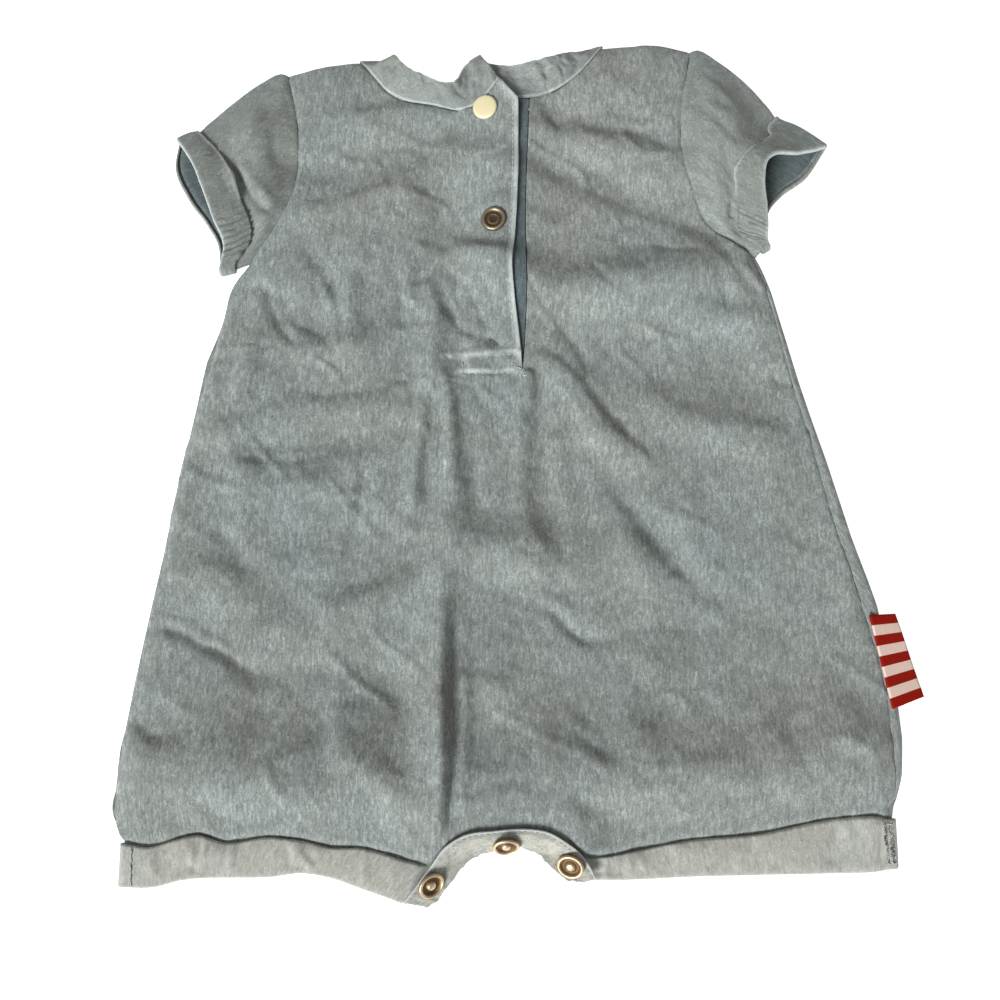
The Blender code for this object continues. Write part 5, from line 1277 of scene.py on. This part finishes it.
COLLAR_RIGHT = (
    (-0.30, -15.5, 193.8, 6.2, 0.0), (-0.18, -10.5, 192.8, 6.2, 0.0), (0.00, -2.0, 192.4, 6.8, 0.0),
    (0.08, 3.1, 192.6, 8.4, 0.5), (0.16, 13.2, 194.8, 9.5, 1.2), (0.26, 20.6, 197.6, 8.0, 1.2),
    (0.38, 25.6, 200.4, 5.0, 0.6), (0.52, 29.0, 202.0, 2.0, 0.0),
)
NECK_UNDER = ((-0.30, -12.0, 175.6), (-0.15, -3.5, 175.0)) + NECK_RIGHT[:5]
COLLAR_GAP = 0.25
COLLAR_HEIGHT = 17.0
turns = np.linspace(0, 1, 8)[1:-1]
collar_runs = (
    (NECK_LEFT, COLLAR_LEFT, np.linspace(1, LEFT_NECK_POINT, 112)),
    (BACK_NECK, COLLAR_BACK, np.linspace(*BACK_NECK_POINTS, 60)),
    (NECK_UNDER, COLLAR_RIGHT, np.concatenate([
        np.linspace(RIGHT_NECK_POINT, 0, 84), np.linspace(0, -0.3, 17)[1:],
    ])),
)


def collar_edges(number, station):
    """Seam and top edge of one part of the band."""
    neck, top, stations = collar_runs[number]
    inside = np.clip(station, stations.min() + 0.001, stations.max() - 0.001)
    way = unit(through(neck, inside + 0.001) - through(neck, inside - 0.001))
    seam = through(neck, station) + left_of(way) * COLLAR_GAP
    if neck is BACK_NECK:
        z = np.full(station.shape, FLOOR_Z)
    elif neck is NECK_UNDER:
        z = front_z(np.maximum(seam[..., 0], slit_x(seam[..., 1]) + 2), seam[..., 1])
    else:
        z = front_z(seam[..., 0], seam[..., 1])
    return lifted(seam, z), through(top, station)


collar_columns, collar_v = [], spread((0, 1), 0.75, COLLAR_HEIGHT, (0.4, 0.9))
for number, (neck, top, stations) in enumerate(collar_runs):
    seam, top_edge = collar_edges(number, stations)
    share = collar_v[:, None, None]
    points = seam[None] + (top_edge[None, :, :3] - seam[None]) * share
    points[..., 2] += top_edge[None, :, 3] * np.sin(math.pi * collar_v)[:, None]
    collar_columns.append(points)
    if number < 2:
        stop = np.array([stations[-1]])
        start = np.array([collar_runs[number + 1][2][0]])
        (seam_a, top_a), (seam_b, top_b) = collar_edges(number, stop), collar_edges(number + 1, start)
        begin, end = (
            (foot + (head[:, :3] - foot) * collar_v[:, None])[:, None]
            for foot, head in ((seam_a, top_a), (seam_b, top_b))
        )
        angle = turns * math.pi
        points = begin + (end - begin) * ((1 - np.cos(angle)) / 2)[None, :, None]
        along = top_a[0, :2] - seam_a[0, :2]
        along /= np.linalg.norm(along)
        along *= np.sign(along[0])
        reach = np.abs(begin[..., 2] - end[..., 2]) / 2 * np.sin(angle)[None]
        points[..., 0] -= along[1] * reach
        points[..., 1] += along[0] * reach
        collar_columns.append(points)
points = np.concatenate(collar_columns, axis=1)
passed = passed_along(points[len(points) // 2])
along, across = np.meshgrid(passed, collar_v * COLLAR_HEIGHT)
weave = joined(across, along)
edge_fade = np.sin(math.pi * np.clip(collar_v, 0.0, 1.0))[:, None] ** 0.4
crinkle = 0.7 * crumple(along, across * 0.45, 4.2, 30) + 0.5 * crumple(along, across, 2.6, 31)
crinkle += 1.0 * creases(along, across * 0.7, 5.5, 36, 0.25)
crinkle -= 0.8 * creases(along, across * 0.5, 6.5, 38, 0.25)
points[..., 2] += crinkle * edge_fade * smooth(0.9, 2.2, points[..., 2])
collar_grids = ((points[::-1], weave[::-1]),)
share = across / COLLAR_HEIGHT
# Paler lines: a painted highlight just above the neck seam, and dye rubbed off along the band's folded top
# edge.
collar_rub_and_highlight = bell(share - 0.045, 0.03) * 0.7 + bell(1 - share, 0.03) * 0.4
# Softer and a little paler than the body, from more rubbing and washing.
collar_cloth = denim(
    "chambray_denim_collar", ("#666b69", "#8e928f", "#bbc0bd"), "#eff5f8", "#f7f5f1", hair_gain=0.3,
)
collar = lay_cloth("collar_band", collar_grids, [collar_cloth], weld=False, worn=[collar_rub_and_highlight[::-1]])
declare(collar, "collar", collar_grids)

# ---------------------------------------------------------------------------
# Leg cuffs.
# The legs' ends, turned up once to the outside, so the paler wrong side shows.
# Each band runs from the crotch tape round the side to the back.
middle = (HEM_Z + RAISED_Z) / 2
cuff_path = np.concatenate([    # 0 to 1 along the front, to 2 round the side, to 3 along the back
    np.linspace(0, 1, 126), 1 + np.linspace(0, 1, 10)[1:-1], 2 + np.linspace(0, 1, 40),
])
# By side: the hem's table, stations of the band's end at the tape, low and high, of the side and
# of the end on the back, x at the side, and the way out.
for side, table, inner_hem, inner_bend, side_station, back_station, side_x, outward in (
    ("left", HEM_LEFT, 0.900, 0.958, 0.012, 0.80, -172.4, -1),
    ("right", HEM_RIGHT, 0.325, 0.305, 0.995, 0.42, 162.1, 1),
):
    step, v = np.meshgrid(cuff_path, np.concatenate([np.linspace(0, LIP, 7)[:-1], np.linspace(LIP, 1, 13)]))
    run = np.clip((v - LIP) / (1 - LIP), 0, 1)
    along = np.where(step > 1.5, np.clip(step - 2, 0, 1), np.clip(1 - step, 0, 1))
    inner = inner_hem + (inner_bend - inner_hem) * run
    far = np.where(step > 1.5, back_station, inner)
    line = through(table, side_station + (far - side_station) * along)
    bend, low = line[..., :2], line[..., 2:]
    way = bend - low
    length = np.linalg.norm(way, axis=-1)
    up, rise, run = turned_up(v, length - 1.0)
    plan = low + way / length[..., None] * up[..., None]
    radius = middle - RAISED_Z + rise
    angle = np.clip(step - 1, 0, 1) * math.pi
    shown = step < 1
    x, y = plan[..., 0], plan[..., 1]
    rumple = 0.35 * crumple(x, y * 0.3, 8.0, 40) * run + 0.16 * crumple(x, y, 3.5, 41) * run
    bent = 1.3 * creases(x, y * 0.35, 9.0, 42, 0.2) - 1.1 * creases(x, y * 0.3, 12.0, 44, 0.2)
    rumple += bent * smooth(0, 0.25, run) * (1 - 0.6 * run**4)
    billow = 0.7 * run * (1 - run**3) * np.sin(along * math.pi) * (1 + np.sin(along * 23))
    wave = (billow - 0.5 * run**4 + rumple * smooth(0, 0.05, along)) * shown
    x = np.where(along == 0, side_x + outward * radius * np.sin(angle), x)
    points = joined(x, y, middle + radius * np.cos(angle) + wave)
    ahead = passed_along(points[-1])
    round_fold = -TURN * (LIP - v) * 4
    weave = joined(ahead * -outward, np.where(v < LIP, round_fold, up))
    grids = ((points[::-1, :: -outward], weave[::-1, :: -outward]),)
    band = lay_cloth("leg_cuff_band_" + side, grids, [wrong], weld=False)
    declare(band, "leg_cuff_" + side, grids)

# Overlocked seam allowances that show on the turned-up bands at the side seams, in grey polyester.
grey_thread, tree, shader = new_finish("grey_polyester_thread")
place = add_node(tree, "ShaderNodeTexCoord").outputs["Object"]
yarns = add_node(tree, "ShaderNodeTexNoise", Vector=place, Scale=900.0).outputs[0]
parted = add_node(tree, "ShaderNodeMapRange", i0=yarns, i1=0.35, i2=0.65).outputs[0]
shade = add_node(
    tree, "ShaderNodeMix", {"data_type": "RGBA"}, i0=parted, i6=srgb("#3f4446"), i7=srgb("#c9cbc8"),
)
fill(tree, shader, {"Base Color": shade.outputs[2], "Roughness": 0.7})
OVERLOCK = (  # start and end x and y, width of the zigzag
    (161.4, -168.0, 162.0, -184.6, 1.9), (158.9, -168.0, 159.6, -184.9, 1.2),
    (-169.4, -178.4, -168.6, -193.4, 0.35),
)
OVERLOCK_TURNS = 34
rows = []
for *ends, wide in OVERLOCK:
    start, end = np.array(ends).reshape(2, 2)
    at = np.linspace(0, 1, OVERLOCK_TURNS)[:, None]
    swing = np.array([wide / 2, 0]) * np.where(np.arange(OVERLOCK_TURNS) % 2, 1, -1)[:, None]
    level = np.full(OVERLOCK_TURNS, HEM_Z + TURN + WALL / 2 + 0.12)
    rows.append(lifted(start + (end - start) * at + swing, level))
sew("leg_cuff_overlock", rows, 0.9, 1.4, 0.5, grey_thread)

# ---------------------------------------------------------------------------
# Crotch snap tapes.
# Facings of plain-woven cotton along the crotch's arch, one on the front panel
# and one on the back's inner face, that close with three snaps.
TAPE_WIDTH, TAPE_LENGTH = 11.0, 110.0
TAPE = (  # station, upper edge x and y, lower edge x and y
    (0.00, -51.5, -199.4, -40.5, -202.4), (0.03, -49.4, -197.1, -36.6, -200.6),
    (0.09, -45.3, -192.2, -34.2, -197.4),
    (0.18, -39.0, -183.6, -30.0, -192.6), (0.27, -32.8, -175.6, -26.0, -187.0),
    (0.36, -24.0, -170.6, -20.0, -182.2), (0.46, -12.0, -169.2, -12.0, -178.8),
    (0.58, 2.0, -168.4, -0.2, -177.6), (0.66, 11.0, -169.3, 6.8, -180.2),
    (0.75, 19.5, -173.4, 11.0, -184.2), (0.84, 26.5, -179.2, 16.0, -188.6),
    (0.93, 31.0, -185.8, 21.5, -191.8), (1.00, 32.6, -190.0, 27.0, -192.4),
)
# Plain cotton facing, grey-white and blotched where the denim's dye has bled into it.
facing = denim("cotton_facing", ("#6c6d69", "#b0afa8", "#dad9d2"), "#f3f5f6", "#f9f6f0", 1.1, 0.4)


def tape_z(x, y):
    """Middle of the front crotch tape, a little further off the front where that is steep."""
    below, _, _ = nearest(x, y, plan_of(TAPE))
    tilt = np.where(x < 0, 5.6, 3.2) * np.clip(1 - below / TAPE_WIDTH, 0, 1) * (1 - in_arch(x))
    return front_z(x, y) + TAPE_RISE + 0.9 * in_arch(x) + tilt


for name, under, first, last, upper, lower in (
    ("crotch_tape_front", "front_panel", 0.0, 1.0, 0.07, 1.0),
    ("crotch_tape_back", "back_panel", 0.17, 0.85, 0.12, 0.95),
):
    u, v = np.meshgrid(np.linspace(first, last, 130), spread((0, 1), 0.7, TAPE_WIDTH, (0.35, 0.8)))
    line = through(TAPE, u)
    part = (upper + (lower - upper) * v)[..., None]
    plan = line[..., :2] + (line[..., 2:] - line[..., :2]) * part
    if name == "crotch_tape_front":
        along = u * TAPE_LENGTH
        z = tape_z(plan[..., 0], plan[..., 1])
        z += 0.22 * crumple(along, v * 3, 3.6, 50) * np.sin(math.pi * v)
        plan[..., 1] += 0.45 * crumple(along, 0 * v, 2.3, 53) * v**6
        z += 0.6 * creases(along, v * 4, 7.0, 51, 0.22) * smooth(0.15, 0.5, v)
        z -= 0.3 * bell(v - 0.14, 0.05)
    else:
        z = back_z(plan[..., 0], plan[..., 1]) + LAYER + 0.05
    grids = ((lifted(plan, z), joined(v * TAPE_WIDTH, u * TAPE_LENGTH)),)
    rim = 0.9 * bell(v * TAPE_WIDTH, 0.8)
    tape = lay_cloth(name + "_facing", grids, [facing], weld=False, worn=[rim])
    declare(tape, name, grids)

rows = []
for across in (0.14, 0.86):
    line = through(TAPE, np.linspace(0.02, 0.98, 60))
    part = 0.07 + 0.93 * across
    rows.append(on_surface(tape_z, line[:, :2] + (line[:, 2:] - line[:, :2]) * part))
sew("crotch_tape_stitches", rows, 2.6, 2.0, 0.28)

# ---------------------------------------------------------------------------
# Snap caps.
# Pressed brass caps, 12 mm across, that hold the snaps through the cloth: one
# smooth and pale, its paleness partly a painted reflection, one antiqued with a
# beaded dish, and three at the crotch with a rolled rim round a deep recess and its post.
SMOOTH_CAP = (  # radius and height of the outside, from the rim's foot to the middle
    (5.6, 0.0), (5.95, 0.3), (6.0, 0.75), (5.85, 1.2), (5.5, 1.5), (5.0, 1.62), (4.2, 1.7),
    (2.8, 1.78), (1.4, 1.83), (0.0, 1.85),
)
DISHED_CAP = (
    (5.6, 0.0), (5.95, 0.35), (6.0, 0.8), (5.85, 1.35), (5.4, 1.75), (4.9, 1.85), (4.45, 1.7), (4.15, 1.3),
    (3.9, 1.0), (3.5, 0.92), (3.0, 1.0), (2.6, 1.22), (2.2, 1.28), (1.9, 1.05), (1.2, 0.95), (0.0, 0.95),
)
POST_CAP = (
    (5.4, 0.0), (5.9, 0.3), (6.0, 0.85), (5.75, 1.35), (5.35, 1.62), (4.95, 1.62), (4.6, 1.35),
    (4.4, 0.85), (4.2, 0.35), (3.3, 0.22), (2.35, 0.28), (2.05, 0.8), (1.8, 1.35), (1.3, 1.65), (0.0, 1.72),
)
CAP_SIDES = 56
BEAD_RING, BEAD_HEIGHT = 2.9, 0.16      # of the beads in the dish


def pressed_brass(name, base, deep, metallic, rough, depth):
    """Brass: its raised parts polished by wear, and its recess brown with patina."""
    material, tree, shader = new_finish(name)
    turned = add_node(tree, "ShaderNodeUVMap", {"uv_map": "turned"}).outputs["UV"]
    height = add_node(tree, "ShaderNodeSeparateXYZ", i0=turned).outputs[1]
    place = add_node(tree, "ShaderNodeTexCoord").outputs["Object"]
    speck = add_node(
        tree, "ShaderNodeTexNoise", Vector=place, Scale=1400.0, Detail=3.0, Roughness=0.6,
    ).outputs[0]
    low = add_node(
        tree, "ShaderNodeMapRange", i0=height, i1=depth[0], i2=depth[1], i3=1.0, i4=0.0,
    ).outputs[0]
    spots = add_node(tree, "ShaderNodeMath", {"operation": "MULTIPLY_ADD"}, i0=speck, i1=0.7, i2=-0.35)
    dark = add_node(
        tree, "ShaderNodeMath", {"operation": "ADD", "use_clamp": True}, i0=low, i1=spots.outputs[0],
    ).outputs[0]
    tint = add_node(tree, "ShaderNodeMix", {"data_type": "RGBA"}, i0=dark, i6=srgb(base), i7=srgb(deep))
    dull = add_node(tree, "ShaderNodeMath", {"operation": "MULTIPLY_ADD"}, i0=dark, i1=0.2, i2=rough)
    relief = add_node(tree, "ShaderNodeBump", Strength=0.5, Distance=0.00008, Height=speck)
    fill(tree, shader, {
        "Base Color": tint.outputs[2], "Metallic": metallic, "Roughness": dull.outputs[0],
        "Normal": relief.outputs[0],
    })
    return material


# Satin: smooth, pale and less metallic, its near-white colour partly a painted reflection of the window's
# light. Antique: brown in its dish. Gilt: rubbed on its rim, brown in its recess.
pale_brass_with_painted_reflection = pressed_brass("pale_brass_painted_reflection", "#fff0c4", "#d2b478", 0.35, 0.45, (-0.2, 0.9))
antique = pressed_brass("antique_brass", "#b5a68c", "#5a4a3a", 0.85, 0.36, (1.0, 1.9))
gilt = pressed_brass("worn_gilt_brass", "#ccb696", "#684f36", 0.75, 0.42, (0.35, 1.45))


def turned_cap(name, profile, finish, beads=0):
    """A cap turned from its profile, standing on the cloth where the solid cap does."""
    low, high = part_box(name)
    centre = (np.array(low) + np.array(high)) / 2 / MM
    step, lean = 3.0, 1.0
    level = front_z
    if name.startswith("snap_crotch"):
        level, lean = tape_z, 1.35
    x, y = centre[:2]
    slope_x = lean * (level(x + step, y) - level(x - step, y)) / (2 * step)
    slope_y = lean * (level(x, y + step) - level(x, y - step)) / (2 * step)
    angle = np.linspace(0, 2 * math.pi, 24, endpoint=False)
    ring = np.array([np.cos(angle), np.sin(angle)])
    ring = np.concatenate([3.0 * ring, 5.9 * ring], axis=1)     # where it bears on the cloth
    stand = level(x + ring[0], y + ring[1]) - slope_x * ring[0] - slope_y * ring[1]
    centre[2] = 0.7 * stand.mean() + 0.3 * stand.max() + WALL / 2 + 0.05    # pressed in a little
    up = Vector((-slope_x, -slope_y, 1)).normalized()
    turn = np.array(up.to_track_quat("Z", "Y").to_matrix())
    *outline, (_, middle_height) = profile
    radius, height = np.array(outline).T[..., None]
    angle = np.linspace(0, 2 * math.pi, CAP_SIDES, endpoint=False)
    on_ring = bell(radius - BEAD_RING, 0.5) * (beads > 0)
    beaded = height + BEAD_HEIGHT * on_ring * np.cos(beads * angle)
    rings = joined(radius * np.cos(angle), radius * np.sin(angle), beaded)
    points = np.concatenate([rings.reshape(-1, 3), [[0, 0, middle_height], [0, 0, 0]]])
    here = np.arange(rings[..., 0].size).reshape(-1, CAP_SIDES)
    after = np.roll(here, -1, axis=1)
    faces = joined(here[:-1], after[:-1], after[1:], here[1:]).reshape(-1, 4).tolist()
    for side in range(CAP_SIDES):
        faces.append([int(here[-1, side]), int(after[-1, side]), here.size])
        faces.append([int(after[0, side]), int(here[0, side]), here.size + 1])
    data = bpy.data.meshes.new(name + "_cap")
    data.from_pydata(((points @ turn.T + centre) * MM).tolist(), [], faces)
    turned = joined(np.hypot(points[:, 0], points[:, 1]), points[:, 2])
    corners = [corner for face in faces for corner in face]
    data.uv_layers.new(name="turned").data.foreach_set("uv", turned[corners].ravel())
    data.shade_smooth()
    data.materials.append(finish)
    cap = put(name + "_cap", data)
    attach(cap, "root")
    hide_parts(name)


turned_cap("snap_placket_1", SMOOTH_CAP, pale_brass_with_painted_reflection)
turned_cap("snap_placket_2", DISHED_CAP, antique, beads=16)
for number in (1, 2, 3):
    turned_cap("snap_crotch_%d" % number, POST_CAP, gilt)

# ---------------------------------------------------------------------------
# Side tab.
# A loop of woven ribbon sewn into the right side seam, with plain stripes that
# run across it.
TAB_SEWN_END = ((157.4, -77.6), (165.2, -119.0))
TAB_FREE_END = ((170.8, -76.8), (181.4, -113.9))
TAB_WIDTH, TAB_LENGTH = 15.0, 40.0
TAB_TOP, TAB_DROP = 7.0, 5.0    # height at the seam, and how far the free end comes down
STRIPES = 9
v, u = np.meshgrid(np.linspace(0, 1, 54), np.linspace(0, 1, 18))
start, end = (
    np.array(line[0]) + (np.array(line[1]) - line[0]) * v[..., None] for line in (TAB_SEWN_END, TAB_FREE_END)
)
z = TAB_TOP - TAB_DROP * u + 0.25 * np.sin(v * 7) * u
points = lifted(start + (end - start) * u[..., None], z)
grids = ((points, joined(u * TAB_WIDTH, v * TAB_LENGTH)),)

# Woven ribbon: red and cream yarns, matt, with fine ribs along its stripes.
ribbon, tree, shader = new_finish("woven_ribbon")
weave = add_node(tree, "ShaderNodeUVMap", {"uv_map": "weave"}).outputs["UV"]
along = add_node(tree, "ShaderNodeSeparateXYZ", i0=weave).outputs[1]
sums = along
for operation, by in (("DIVIDE", 2 * TAB_LENGTH / STRIPES * MM), ("FRACT", 0.0), ("GREATER_THAN", 0.5)):
    sums = add_node(tree, "ShaderNodeMath", {"operation": operation}, i0=sums, i1=by).outputs[0]
ribs = add_node(
    tree, "ShaderNodeTexWave", {"bands_direction": "Y"}, Vector=weave, Scale=700.0, Distortion=0.6,
).outputs[1]
stripes = add_node(
    tree, "ShaderNodeMix", {"data_type": "RGBA"}, i0=sums, i6=srgb("#a01a0a"), i7=srgb("#fadfd2"),
)
ribbed = add_node(
    tree, "ShaderNodeMix", {"data_type": "RGBA", "blend_type": "MULTIPLY"},
    i0=ribs, i6=stripes.outputs[2], i7=srgb("#e4dcd8"),
)
relief = add_node(tree, "ShaderNodeBump", Strength=0.5, Distance=0.0001, Height=ribs)
fill(tree, shader, {
    "Base Color": ribbed.outputs[2], "Roughness": 0.85, "Specular IOR Level": 0.1,
    "Normal": relief.outputs[0],
})
tab = lay_cloth("side_tab_ribbon", grids, [ribbon], weld=False)
declare(tab, "side_tab", grids)
